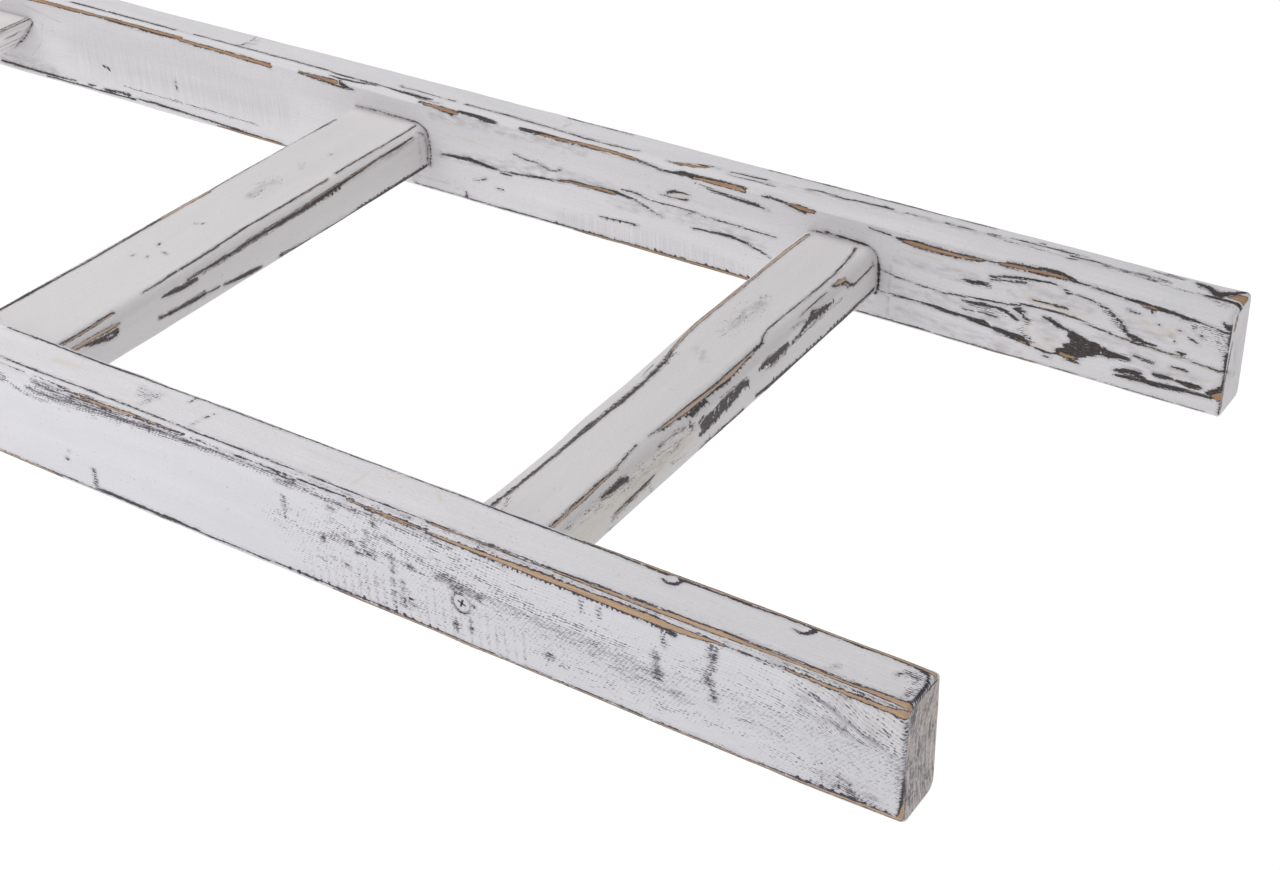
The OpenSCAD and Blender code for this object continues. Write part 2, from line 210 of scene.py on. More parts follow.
# Outline of the joint with rung 1, with grey haze on its foot side and under it that is painted shade of the
# rung
# Outline of the joint with rung 2, with grey haze on its foot side and under it that is painted shade of the
# rung
# Outline of the joint with rung 3, with grey haze on its foot side and under it that is painted shade of the
# rung
RIGHT_INNER = read_strokes("""
    # Front edge, from rung 1 to the foot end
    T 196 58.4 .2, 190 58 1.1, 174 57.9 1, 158 58.2 .7, 144 59.4 .1
    K 200 59.4 .5, 196 59.2 1.2, 188 59.6 .9, 172 59.5 .7, 150 59.9 .5
    K 190 56.6 .3, 160 56.9 .3, 146 58.6 .4  K 218 61 .15, 203 60 .25  K 160 59.6 .3, 137 60.2 .35
    T 136 60.4 .2, 125 61.1 .9, 116 61.4 .7, 108 62 .6, 100 62.3 .6, 94 62.2 .3
    K 130 62.4 .5, 118 63 .9, 104 64 1.1, 97 63.8 .9, 90 62.6 .5  K 132 59.6 .3, 112 60.4 .4, 96 61.4 .4
    K 94 62.2 .6, 62 60 .5  K 60 59.8 .7, 48 59.2 1.2, 34 58.4 1, 24 57.6 1, 17 57 .6
    T 51 58.6 .3, 42 57.9 .5  K 45 57 .6, 43 55.2 .7  K 17 57 .2, 8 56 .3, 0 55.2 .5
    # Front edge between rungs 1 and 2
    K 290 63.2 .3, 284 63.6 .5, 274 62.6 .8, 265 60.6 1.2, 260 59.8 .5
    T 272 62.6 .3, 266 62 1, 258 61.4 .8, 254 61.6 .2  K 552 64.8 .2, 545 64.9 .3
    T 548 64.4 .2, 538 64.4 .7, 528 64 1, 520 63.8 .6  K 527 62.6 .8, 523 62.2 .7
    K 520 65.4 .9, 505 65.2 1.6, 495 64.6 1.3, 488 64.2 .5  G 520 65 1.5, 490 64 1.5
    K 470 65 1.1, 455 65 1.4, 438 64.8 1.1
    T 455 64.4 .3, 440 64.6 .6, 428 65 .6, 420 65.8 1, 405 65.8 1.1, 390 65.2 .7, 380 64.2 .3
    K 428 66.6 .3, 415 67.1 .4, 395 66.6 .3
    K 380 64 .5, 370 63.6 .4, 364 62.4 .4, 356 62.4 .6, 348 63.6 1.2, 340 63.9 1.2, 335 63.6 .8
    T 340 62.8 .2, 330 63.4 .6, 318 63.4 .9, 307 63.6 .9, 303 63 .7
    K 335 64 .6, 322 65 .6, 308 65.4 .6, 302 64.4 .5  K 304 62.6 1, 302 62.2 .5
    H 336 60 1, 326 58 2, 312 57 2, 300 56 2
    K 326 57.8 .3, 314 57.2 .4, 303 56.2 .7, 294 56.2 1, 290 55 .5, 285 54.6 .2
    # Crack, haze and scratches between rungs 1 and 2
    G 540 30 5, 500 34 6, 450 40 7, 400 40 6  G 540 58 5, 470 60 5, 420 60 4  G 400 30 5, 340 34 6, 290 30 5
    K 535 31.2 .3, 520 32.2 .8, 512 32.9 1.5, 504 32.4 1.3, 496 31.4 .7, 486 31 .4, 470 32 .5, 450 34.4 .5,
      438 35.4 .6, 433 37.2 .7, 420 37.6 .8, 408 38 .9, 396 38 1, 384 37.2 .7, 376 34.8 .4
    T 440 34.8 .15, 434 36.4 .25, 420 37 .4, 404 37.4 .7, 397 37.2 .4
    K 376 34.8 .25, 368 32 .15, 362 29.4 .15  K 487 29.6 .4, 478 29.4 .4  K 491 17 .3, 486 17.4 .3
    K 476 45.8 .3, 470 45 .35, 462 43.8 .3, 455 43.8 .3, 452 42.4 .5, 448 41.2 .4, 442 41.4 .3, 438 44 .2
    G 437 55 1.5, 435 54 1.5  K 509 19 .15, 504 19.6 .2, 499 22 .25
    K 410 18.2 .15, 396 18.6 .2, 391 19 .35, 384 19.2 .3, 380 19.4 .2  Y 530 46 .5, 515 47 1.2, 495 45.6 .6
    Y 366 45.4 .5, 344 47.6 1.5, 310 45 .6  K 364 45.4 .12, 350 45.8 .2, 344 46.4 .3, 342 48 .12
    K 392 41.6 .2, 384 41.8 .3, 376 41.4 .2
    K 380 41 .15, 370 39.8 .2, 345 39.6 .25, 320 38.4 .2, 280 37.8 .12
    K 359 46.8 .2, 356 49 .6, 352 50 .8, 346 50.6 .5, 340 51 .15  K 344 36.4 .2, 342 37.4 .5, 338 39.4 .2
    K 340 28 .25, 333 29 .4, 326 29.2 .4, 318 30 .8, 312 30.2 .8, 307 29.2 .6, 300 28 .7, 294 26.2 .5,
      288 24 .35, 284 22.4 .2  G 526 13 1.5, 524 8 1.5  G 518 11 1.5, 517 5 2, 510 6 1.5
    G 461 17 1, 460 12 1  K 517 8 .4, 516.4 4 .8
    # Cracks between rung 1 and the foot end, above the knot
    K 140 51 .4, 136 51.6 .7, 128 53.6 .8, 120 55 .7, 110 56.4 .7
    K 110 56.4 .2, 104 57 .15, 97 56 .2, 91 53.6 .3  K 95 53.6 .4, 93 53.2 1, 90 53.4 .4
    K 88 54 .3, 78 52.4 .3, 70 50.4 .5, 64 46.6 .6, 60 43.4 1, 58 40 .8, 56 37.6 1, 52 37.2 1.5, 48 36.2 .9,
      39 35.6 .6  H 70 49 3, 62 43 4, 56 38 3  K 140 48.8 .2, 130 50.6 .3, 118 53 .35
    K 154 43.8 .5, 150 44 1, 147 44.6 1.5, 143 44.6 .8  H 156 44 3, 140 45 3
    G 172 41 1, 150 43.6 2.4, 144 45.6 1.6  K 114 43 .4, 110 43.4 .2, 105 43.7 .5, 92 43.5 .3
    G 128 45 1.5, 123 42 1.5
    K 170 32 .35, 158 33 .3, 140 35 .3, 128 36 .35, 118 38.6 .35, 108 39.6 .4, 96 39.6 .4, 86 39 .4,
      76 36.6 .35, 60 34.6 .3, 45 34 .35, 20 32.2 .3, 0 30.6 .4  K 200 33.4 .1, 170 32.2 .12
    K 54 33.6 .5, 46 33.6 .4  K 28 35.8 .4, 25 35.4 1, 23 35.4 .8
    # Knot
    K 106 34.4 .6, 101 33.4 1.2, 97 31.4 1.3, 91 30 1, 87 29 1.2, 82 27 1.4, 78 25.6 1.4, 72 25.4 1.2,
      70 23 1.6, 72 20.6 1.1  K 89 27 1.8, 83 23 5, 78 21.8 4.6, 74 22.4 3.4  K 92 20 1.4, 87 19 4, 81 18 3
    K 96 15.4 1.4, 91 16 2.6, 85 15.4 2.6  K 96 13.4 1, 88 11.8 1, 83 11 .7
    T 95 14 .5, 89 13.4 .9, 85 13.8 .4  K 68 24 1.4, 66 22 2.4, 62 22.6 1.8, 58 22.6 1, 53 22.8 .5
    H 70 22 3, 55 22.6 3  W 88 27 .5, 90 22 .4  W 69.4 26 .3, 70 20 .5  W 93 29 .6, 94 24 1.2
    B 104 26 5.5, 103 20 5.5  W 106 27 4, 104 20 5  Y 107 22 2, 98 19 1
    # Cracks that run from the knot to rung 1
    K 124 35 .9, 121 33.4 1.1, 117 30.6 .8, 114 28.6 .5  K 122 36 .5, 117 34.6 .4
    K 157 30.2 .3, 150 30.6 .6, 144 31.8 1, 138 31.4 .8, 133 31.8 1.1, 128 31 .9, 124 28.6 1, 121 27.4 .5
    K 156 25 .2, 144 25.8 .4, 134 25.8 .3  H 152 29 2, 130 28 2
    K 200 21.4 .4, 180 21.4 .5, 170 21.2 1.2, 164 20.4 .9, 155 20.2 .8, 148 19.8 1.6, 142 19.6 2.2,
      138 18.4 .9  K 136 18.4 1.2, 130 17.4 1.5, 124 16.6 1.9, 118 16 2.1, 113 13.8 1
    T 121 14.6 .1, 115 14.2 .5  K 115 19 .3, 112 17 .3  K 110 13.6 .4, 104 12 .6, 99 12.2 .3
    K 104 9.2 .2, 100 9.2 .2
    # Marks between the knot and the foot end
    K 61 10.4 .7, 54 11 1.2, 46 11.4 1.3, 34 12 1.6, 24 12.6 1.2, 12 13 .8, 5 12.8 .8
    K 62 13.4 .4, 56 14.4 1.5, 50 15.4 1.3, 46 16 .6  H 56 12 4, 48 13 4  K 49 13.4 .8, 44 13.4 .5
    K 39 17.4 .7, 34 17.4 1, 28 18 .9  K 25 17.6 1, 18 17 1.8, 12 17.4 1
    K 7 15.4 1.1, 4 17.4 1.6, 1 19.4 1.8  T 5 14.4 .3, 1.6 14.6 2, -1 15 2.8  K 52 26 .4, 46 25 .4, 38 25 .4
    T 46 24.8 .15, 40 24.6 .3  K 30 25.2 .3, 24 25.8 .5, 20 25.2 .3  K 58 53.4 .3, 52 53 .5, 50 53 .2
    K 40 49.6 .6, 39 49 .4  K 28 49 .4, 26 48.8 .3  K 22 46.4 .3, 19 45 .5, 16 43.6 .2
    K 31 44 .15, 29 41 .2  K 16 49.6 .4, 14 48.6 .3  K 21 53 .4, 20 52.6 .3  S 26 56 3, 12 52 7, 4 50 7
    # Rim of the foot end
    K -.4 57 1, -.6 50 1.3, -.8 44 .8  K 0 41 1.2, -.6 38 1.6, -.4 31 1.1  K -.4 30 .8, -.2 20 1
    K -.6 12 .8, -.4 3 .8  K 4 60 .8, 1 58 1.4, -1.6 56 1  S 5 54 5, 3 40 4  T -1.6 60 1, -1.8 50 .8
    T -1.2 22 .6, -1.5 12 1
    # Stains and haze round the knot
    Y 118 44 3, 104 43 4.5, 84 42 3  Y 104 23 3.4, 102 22 3  Y 196 53 1, 170 52 1  Y 50 25 1, 0 22.6 1
    Y 60 34 1, 0 30 1  Y 48 43 1.5, 10 44 1  G 135 14 3, 125 12 3  G 163 9 1, 161 5 1  G 120 50 4, 80 47 5
    G 200 45 3, 176 46 5, 150 48 4  G 200 26 3, 160 28 6, 130 24 4  G 118 31 5, 98 31 5  G 74 31 5, 40 27 4
    G 56 18 4, 14 21 5  G 62 44 6, 34 42 5  G 104 25 7, 100 22 7  G 196 12 5, 150 10 5, 120 6 4
    H 112 16 2, 120 22 2, 114 30 2  Y 118 28 2, 112 16 2, 98 14 2  Y 58 50 2, 30 46 2
    # Back edge
    K 960 6 .9, 900 6.2 .7, 880 7 .4  K 868 7 .5, 860 7.4 .4  K 851 7 .6, 836 7.8 .8, 825 7.6 1
    K 818 6.6 .3, 800 7.2 .7, 780 6.6 .7, 760 6.2 .6, 735 5.4 .7, 700 4.4 .7, 678 4 .5
    T 740 3.2 .4, 700 3 .6, 676 3 .3  K 560 3.4 .3, 500 3.4 .4, 440 3.5 .5, 380 4 .7, 340 4 .7, 300 4 .6
    T 430 2.8 .3, 380 2.8 .8, 300 2.8 .8  K 225 3.4 .5, 180 3.6 .4
    K 200 3 .4, 110 3 .5, 60 2.6 .3, 8 2.6 .4  T 140 2.6 .1, 110 2.6 .3
    # Front edge beyond rung 2
    T 930 65 1.2, 890 65.4 1.3, 855 65.4 1  T 855 65.6 .7, 800 65.4 1, 765 65.2 1
    K 850 65.8 .6, 838 65 1, 815 64.2 .8, 780 63.8 .8, 766 64 .4
    K 912 4 .6, 880 4.4 .7, 850 5 .6, 820 5.6 .6  T 765 63.6 .6, 720 63 .8, 690 62.6 1, 681 62 1.3
    K 681 61.6 1.2, 680 61 .8  T 655 63.2 .2, 645 63 .6, 632 62.9 1, 622 63 1
    K 645 62 .3, 625 61 .5, 610 60.8 .8, 607 60.6 .4  K 620 64.4 .7, 617 63 1.2, 612 61.4 .8
    # Faint marks between rungs 2 and 3
    K 775 30 .25, 774 23 .3  H 830 14 1.2, 770 14 1.8, 697 13.6 1.4  G 793 36 .8, 794 22 .8
    G 787 58 .7, 788 40 .6  G 792 46 .8, 790 30 .8  K 847 26 .2, 843 24.6 .3
    # Outline of the joint with rung 1
    K 250 49.8 .1, 243 49.9 .3, 228 50 .6, 220 49.2 .9, 215 46.8 1, 212 42 .9, 210.6 36 .8, 210.4 30 .7,
      210.8 24 .7, 212.2 19.2 .7  K 246 50.4 .9, 245 51 .7  K 256 49 .15, 247 49.6 .2
    K 212 36 .15, 196 33.6 .12, 180 32 .1  K 212 21.4 .12, 200 21.4 .2  G 203 40 1.4, 204 6 1.4
    G 275 58 .4, 274 30 .4  G 216 12 3, 226 6 3
    # Outline of the joint with rung 2
    K 606 49.6 .05, 585 50 .1, 560 49.8 .2, 552 49 .3, 546.4 45.4 .4, 544.8 38 .4, 544.6 28 .35,
      546 19.6 .35  G 626 58 .5, 625 40 .5  G 535 36 .4, 535 14 .5  G 552 10 1, 530 10.6 1
    G 552 16 3, 560 6 4
    # Outline of the joint with rung 3
    K 917 46 .4, 921 40 .3, 930 30 .3, 945 20 .3  G 903 60 .8, 912 30 .8, 925 18 .8  G 925 58 1, 885 52 .8
    G 900 10 6, 960 12 8
""")
RIGHT_INNER += [(kind, [(680, 34, 24), (740, 36, 30), (810, 36, 30), (866, 34, 26)]) for kind in "GC"]
RIGHT_INNER += [(kind, [(300, 8, 8), (370, 10, 12), (440, 9, 9)]) for kind in "GC"]
RIGHT_TOP = read_strokes("""
    # Outer front edge
    K 300 26.6 .2, 270 26.8 .4, 200 26.8 .35, 150 26.6 .2  K 450 26.4 .35, 400 26.2 .25
    # Broken line along the middle, from rung 1 to the foot end
    K 268 16 .2, 262 17 .4, 246 16.6 .6, 243 16 .9, 236 17.4 .4, 222 18 .8, 212 18.4 .5
    K 218 20 .4, 214 18.6 .4  K 204 18 .4, 197 18 .4  K 191 18.4 .3, 189 18.4 .3
    K 178 18.4 .7, 168 18.6 .4, 160 18.8 .35  K 152 19 .3, 144 19.6 .3
    K 138 20.4 .25, 125 21 .3, 116 20.6 .3, 110 21.4 .7, 100 21.2 .4, 92 21.4 .3  K 122 23.8 .5, 118 23.6 .4
    K 100 18.6 .9, 95 18.4 .8, 88 19 .5, 78 18.4 .3  K 101 15.2 .3, 96 15 .4  K 69 16.4 .6, 66 16.2 .5
    H 80 17 2.5, 56 17 3.4, 42 17 2.5  K 60 18.4 .5, 53 18.4 .4  K 50 19 .3, 44 18.4 .4
    K 55 15 .5, 48 15 .4  H 150 17 1.4, 110 16.6 1.4  K 46 25.6 .3, 36 25.2 .3  H 60 24.6 1.5, 36 24 1.5
    H 45 13 1.6, 20 13 2, 6 8 4  K 29 24 .8, 24 23.4 1.3, 20 22 1.6, 17 18.6 1.8, 14 18 2.8
    K 20 14 .6, 15 14 1.4, 8 14 1.4, 0 13 1.4  K 14 18 2.4, 10 21.6 2, 6 25 1.4, 2 28.4 1
    H 26 21 4, 16 20 6  T 8 18.6 .9, 4 20 2.4, 0 20.4 3.6  K 8 14 .8, 0 13.4 .8
    # Lines between rungs 1 and 2
    K 362 6 .4, 350 5.6 .7  T 356 6.6 .3, 344 8 .8, 338 10 1, 335 11 .5
    K 350 8.4 .3, 340 11.6 .5, 332 13.2 .6, 326 12.8 .3  K 320 12.6 .2, 308 13.6 .6, 300 13.6 .8, 295 14 .6
    K 320 8.8 .25, 300 9.2 .3, 286 9 .2
    K 520 10.2 .7, 510 10.4 .5, 495 10 .4, 489 10.4 .6, 470 9.4 .4, 440 8.4 .35, 425 7.2 .45, 405 7.2 .4,
      392 7.8 .4, 384 8.8 .5  K 575 12 .6, 572 10.8 .5, 560 11 .4, 552 10.6 .25, 540 10.6 .2
    K 535 10 .5, 528 10.6 .4
    # Lines from rung 2 on
    K 600 5.4 .3, 580 5.4 .4, 574 5 .8, 562 4.6 1.3, 550 5 1.2, 544 5.4 .5
    K 556 2 .3, 540 2.4 .4, 535 3.4 .4  K 880 8 .6, 840 7.8 .65, 800 7.4 .55, 775 7.4 .5
    K 760 8 .3, 700 8 .3, 690 7.6 .4, 650 7.4 .5, 635 7 .5  G 880 8 2, 760 8 2.4, 640 7 2
    G 500 10 3, 400 8 3  G 300 12 3, 200 17 4, 60 16 4  K 636 7 .3, 625 5.8 .6, 600 5.8 .4
    K 630 1.4 .6, 620 .6 1, 610 1.4 1.2, 600 2.6 .8  K 604 3.4 .5, 590 4.4 .3
    # Haze and a line across
    G 450 25 1.4, 444 20 3, 444 14 2  G 436 23 1.6, 430 23 1.2  G 714 25 .8, 709 18 4, 710 10 3
    K 716 26 .3, 714 18 .5, 716 9 .4  G 712 24 3, 710 9 4
""")
RUNG_1_TOP = read_strokes("""
    # Head side edge
    K 48 38.2 .4, 60 37.4 .7, 80 37.2 .8, 110 36.8 .6, 140 36.4 .5, 165 36 .8, 185 36.6 .6, 205 38 .5,
      212 40 .4  K 105 38 .2, 130 38.6 .35, 138 37 .3  H 150 38 1.5, 190 39 2, 210 39.6 1.5
    T 210 40.6 .1, 222 42.8 .4, 232 44.6 1, 245 45.4 .9, 280 45.2 .6, 310 45 .4, 330 45.6 1, 350 45.2 .9,
      370 44 .4
    K 200 39.4 -.1, 212 40.4 .1, 224 42.2 .2, 236 43.6 .1, 260 44 -.1, 300 43.8 -.1, 328 44.2 .1, 350 44 .1,
      370 43 .2  K 200 44.6 .3, 188 44.4 .2  H 48 37 2, 120 38 3, 160 37 4, 215 39 4
    # Foot side edge
    T 48 2.4 .6, 70 2.8 .6, 90 3.4 .4, 108 4 .15  K 48 3.8 .3, 110 4.8 .3, 120 6.2 .3, 130 7 .2
    T 148 5 .2, 160 4 .7, 176 2.8 1.5, 190 2.4 1, 200 1.6 .8, 214 1 2, 228 2.4 .7, 240 3.2 .3
    K 140 6.4 .2, 150 5.6 .4, 170 4.8 .4, 200 3.6 .5, 230 3.8 .5, 249 3.4 .8
    K 249 3.4 .4, 254 6.6 .4, 262 8.4 .35, 280 8.4 .35, 310 7.4 .35, 335 7.2 .35, 352 8.6 .4, 362 10 .5,
      369 11.6 .8
    # Dashes and haze in the middle
    H 48 30 2, 56 33 3, 60 38 2  S 248 26 8, 262 28 12, 278 26 12, 292 28 8  G 256 26 5, 270 27 8, 286 26 5
    G 225 30 5, 216 20 4
    # Thin lines and ragged teeth along both edges
    K 146 4.4 -.1, 160 2 .1, 170 .6 .6, 182 -.2 .4, 196 -.6 .6, 206 -1 .9, 218 -.8 .5, 232 1.4 .1,
      246 2.6 .3  C 145 1 5, 180 -2 6, 215 -2 6, 250 3 4  C 48 39 2, 120 38 1.5, 210 38.6 2
""")
RUNG_1_FOOT = read_strokes("""
    # Marks from the left rail to the middle
    K 88 24 .5, 96 23.4 1.2, 106 23.2 1.7, 110 22.2 1.5  H 88 24 2, 106 26 2
    K 97 8.6 .4, 110 9 .7, 122 9.8 .8, 134 10.4 .3  H 96 6 3, 130 9 3
    S 60 24 6, 100 20 9, 150 20 9, 175 18 7  H 140 25 1.6, 150 24.4 1.8  K 150 15 -.3, 157 15.6 0
    K 160 22 -.3, 164 23 0  K 130 6 -.2, 132 1 -.1  H 270 16.6 1.8, 300 17 2.4, 332 17.4 1.6
    H 276 26.4 1.6, 290 24 2  K 90 .4 .8, 98 .4 .6  Y 56 14 12, 120 14 12, 170 14 8
    # Worn patch in the middle
    K 170 28.4 .8, 176 27 1.8, 182 27.4 2.2, 188 26.4 1  C 170 27 3, 190 25 3  K 169 21.4 .8, 171.6 18.6 .4
    K 181 15.6 1.8, 185 14.4 4.2, 194 16 2.6, 201 16.4 3.8, 209 18 2, 216 16.6 3.4, 221 18.4 2, 227 16.4 1.6
    K 179 10.4 1, 184 11.4 1.8, 200 13 1.6, 214 14 1.4  K 178 18 .6, 182 19.4 .8
    W 191.6 12.4 .4, 193.4 17.6 .8  W 197 13.4 .3, 198 18.4 .7  W 202.6 18 .4, 203.4 21 .8
    W 206 13.8 .5, 207.4 17.4 .9  W 211.4 15 .3, 213.4 20 .7  W 219 13 .7, 219.6 16 .4
    H 200 21 2.4, 226 21 2  C 178 9 8, 228 12 8  K 198 28.6 .2, 204 28.4 1.4, 210 27.8 1.2, 217 29.6 .6
    C 164 28 6, 215 28 6  K 178 1.6 .6, 190 1 1.2, 206 1 1.3, 222 1.4 1.2
    # Worn patch towards the right rail
    K 242 18.6 1.4, 248 19.4 1.6, 254 17.8 2.4, 262 18.2 2.2, 269 18 1.8  C 240 15.4 7, 290 16 6
    C 290 19 5, 322 19 5  H 244 14 3, 268 14 3  T 243 20 .2, 250 20.6 .4  K 274 17 .4, 284 18 .4
    K 285 19.4 .6, 293 21.4 1.4, 300 22.4 3, 306 21.2 2, 320 20.6 .6
    T 298 23.6 .1, 302 23.6 .3, 306 22.6 .1  K 298 24.6 .6, 301 26 .3
    K 288 29.2 .2, 300 29.6 .3, 318 29.8 .6  T 330 29.8 1, 334 29.2 2, 338 28 1.2  T 337 25 .5, 340 22 .6
    K 326 31 .7, 329 29.4 2, 334 27.4 1.4, 338 25 1.4, 341 22 1.2, 346 19.8 .7
    K 346 19.4 .6, 358 20 .4, 368 21.2 .7  K 369 23 .5, 371 20 .4
    # Back edge
    K 236 3.6 .8, 250 2.4 1.3, 280 1.8 1.4, 310 2 1.2, 336 2.8 1.1, 350 3.6 .9, 372 4.2 1
    C 250 4 2, 340 4 2  H 140 24 3, 160 24 3  H 150 8 2, 165 6 1.5  G 110 16 6, 160 14 6
""")
RUNG_2_TOP = read_strokes("""
    # Head side edge
    K 48 58.8 .6, 70 58.4 1.2, 110 57.8 .8, 122 57.2 .8, 145 57.8 .7, 170 58.2 .9, 200 58.2 .7, 230 58 .7
    T 188 58.8 .3, 205 59 .8, 222 59 .6, 235 59 .2  K 226 59.4 .5, 280 60 .5, 312 60.4 .5
    K 310 61 .4, 322 60.2 .6, 340 59.2 .7, 352 59 .3
    # Foot side edge
    K 48 1 .5, 70 1.2 .5, 88 1.8 .6, 91 1.6 .7  T 48 -.8 .5, 70 -.4 .5, 90 .3 .5  K 91 2 .6, 91.4 -.5 .4
    K 117 3 .15, 130 2.6 .4, 144 4 .3  H 115 3 1.5, 150 4 2, 180 4.4 2  K 148 3.8 .3, 162 3.6 .5, 180 4.4 .4
    K 180 5 .4, 195 5.6 .6, 210 6 .5, 250 5.4 .5, 282 5.8 .4  K 290 6.4 .5, 310 7 .6, 340 6.2 .5, 372 6.8 .6
    T 255 5.2 .1, 280 5.4 .2
    # Specks and haze in the middle
    K 147 30.4 .3, 148.4 31 .3  K 162 35.4 .3, 164 36.4 .3  K 195.6 32 .5, 196.6 31.8 .4
    K 157 27 .2, 156 23 .25  K 144 39.6 .3, 146 39.8 .2  K 309 27 .4, 311 27 .3  K 194 35 .3, 193.6 36 .2
    G 238 32 4, 254 36 6, 262 30 4  G 284 30 3, 290 34 4  S 240 30 8, 262 34 9
""")
RUNG_2_FOOT = read_strokes("""
    # Front edge and what hangs below it
    T 48 22.4 .8, 70 21.8 .9, 88 21.2 .7, 92 21 .2  K 66 19.6 .7, 76 18 1.6, 84 16.8 2.2, 89 17.4 2.2
    W 82 17 .4, 86 16.6 .6  K 127 21.4 .5, 138 20.6 1.4, 148 20 1.5, 155 19.8 1.2  G 330 24 3, 362 26 3
    K 148 22.6 .5, 165 22.6 .8, 185 22.6 1, 200 23.4 .9, 230 23.4 .9, 255 23.4 1.2, 275 24 1.2, 300 25.2 .8,
      325 27 .8, 345 26.8 .8, 361 27.4 .6
    T 200 24.2 .05, 250 24.8 .1, 280 25.8 .15, 300 26.2 .1, 330 27.4 .1  H 160 21 1.5, 250 22 2, 285 22 2
    C 250 22 2.5, 285 22 2.5
    # Back edge and what stands above it
    K 122 9.8 .7, 132 8.6 .9, 145 7.8 1, 160 7.6 1.2  K 162 6.8 .5, 172 6.6 .6  H 130 10 1.5, 160 9 1.5
    K 176 5.8 .5, 190 4.4 1.2, 200 3.2 1.4, 209 2.6 .7
    K 226 2.6 .9, 240 1.6 .7, 260 .8 .6, 290 .9 .7, 310 1.6 .8, 345 1.8 1, 373 2.4 .8  C 300 2 2, 373 3 2
    K 368 30 .05, 372 24 .1, 374 14 .2, 373 5 .4  G 366 24 2, 366 8 2
""")
RUNG_3_TOP = read_strokes("""
    K 374 1.6 .8, 340 1 .6, 300 1.4 .5, 240 .8 .7, 160 1.4 .5, 60 1 .6  K 374 4.2 .4, 330 3.6 .4, 280 4.4 .2
    T 368 1.2 .3, 330 .6 .5, 300 1 .3  T 220 .8 .3, 150 1 .6, 110 .8 .2
    K 374 54 .4, 300 54.4 .6, 200 54.6 .5, 90 54 .7, 40 54 .4
""")
LEFT_END = read_strokes("""
    K 2 63.6 1.2, 16 64.4 1.4, 29 63.4 1  T 1 62 1.2, 4 65 1  T 1.4 4 1.4, 2.4 14 .6
    K 1.4 60 .7, 1.6 30 .4, 3 16 .6  K 8 1.4 .5, 28 1.6 .6  H 3 40 4, 8 50 5, 3 20 4
    W 4 27 .2, 9 15 .4, 13 7 .3  W 2.6 24 .2, 6 16 .3, 8 11 .2  W 13 53 .2, 16 47 .4  K 17 48 .2, 19 43 .5
    K 22 27 .4, 25 24 .5  K 10 32 .2, 14 28 .3
""")
RIGHT_END = read_strokes("""
    K 29 31 .3, 20 24 .25, 12 20 .2  K 24 46 .6, 26 36 .7, 28 22 .6, 28 6 .6  T 22 61 1, 24 54 .6
    K 20 63 .8, 6 65 .6
""")

# Where the strokes lie on each bar: the side they are on, in the order that the sides go round a bar
NEAR, TOP, FAR, UNDER = range(4)

# Worn corners of the bars as stops of (along, reach across, reach up, power): power 1 cuts flat, 2 is round.
# They go round from the corner of the under and near sides.
LEFT_CORNERS = [
    [(0, 6, 6, 1.4), (45, 5, 5, 2)],
    [(0, 4, 4, 1.6), (20, 4.6, 3.4, 1.2), (300, 5.4, 3, 1.2), (560, 4.4, 3.4, 1.2), (900, 5, 4, 1.5)],
    [(0, 5, 4, 1.8), (200, 4, 3.4, 1.6), (900, 5, 5, 1.7)],
    [(0, 6, 6, 2)],
]
RIGHT_CORNERS = [
    [(0, 5, 4, 1.8), (60, 5, 5, 2)],
    [(0, 3, 5, 1.8), (20, 4.6, 4.6, 1.6), (800, 4.6, 4.6, 1.6), (1000, 2.5, 3, 1.6)],
    [(0, 6, 3.4, 1.5), (60, 7.5, 3.4, 1.3), (600, 7, 3.6, 1.3), (1000, 5, 4, 1.6)],
    [(0, 5, 5, 2)],
]
RUNG_CORNERS = {
    "rung_1": [
        [(0, 1.6, 1.6, 2), (250, 1.6, 1.6, 2), (375, 3, 3, 2)],
        [(0, 7, 7.6, 1.8), (190, 9, 8.6, 1.7), (375, 7.4, 7, 1.8)],
        [(0, 10, 6, 1.3), (110, 11, 6, 1.3), (180, 11, 4, 1.3), (250, 3, 1.6, 1.5), (375, 3, 1.6, 1.6)],
        [(0, 4, 4, 2)],
    ],
    "rung_2": [
        [(0, 1.6, 1.6, 2)],
        [(0, 4, 6, 1.7), (110, 7, 7, 1.8), (375, 7, 7, 1.8)],
        [(0, 1.6, 1.6, 1.6)],
        [(0, 4, 4, 2)],
    ],
    "rung_3": [[(0, 25, 25, 1.02)], [(0, 3, 3, 1.8)], [(0, 5, 5, 1.8)], [(0, 4, 4, 2)]],
    "rung_4": [[(0, 4, 4, 2)], [(0, 6, 6, 1.8)], [(0, 6, 6, 1.8)], [(0, 5, 5, 2)]],
}

# How far the sides draw in at a rail's end, as stops of (around, draw-in, reach along)
LEFT_FOOT = [(0, 1, 2), (30, 1.4, 2), (60, 2, 2), (70, 2.4, 2.4), (98, 1.6, 2), (120, 1, 1.6), (196, 1, 2)]
RIGHT_FOOT = [
    (0, 1, 2), (30, 1, 2), (60, 2, 2), (72, 2, 2.5), (92, 2.5, 3), (98, 3, 3.5), (110, 3, 3), (130, 2, 3),
    (150, 1.5, 2), (196, 1, 2),
]
HEAD = [(0, 2.5, 2.5), (196, 2.5, 2.5)]

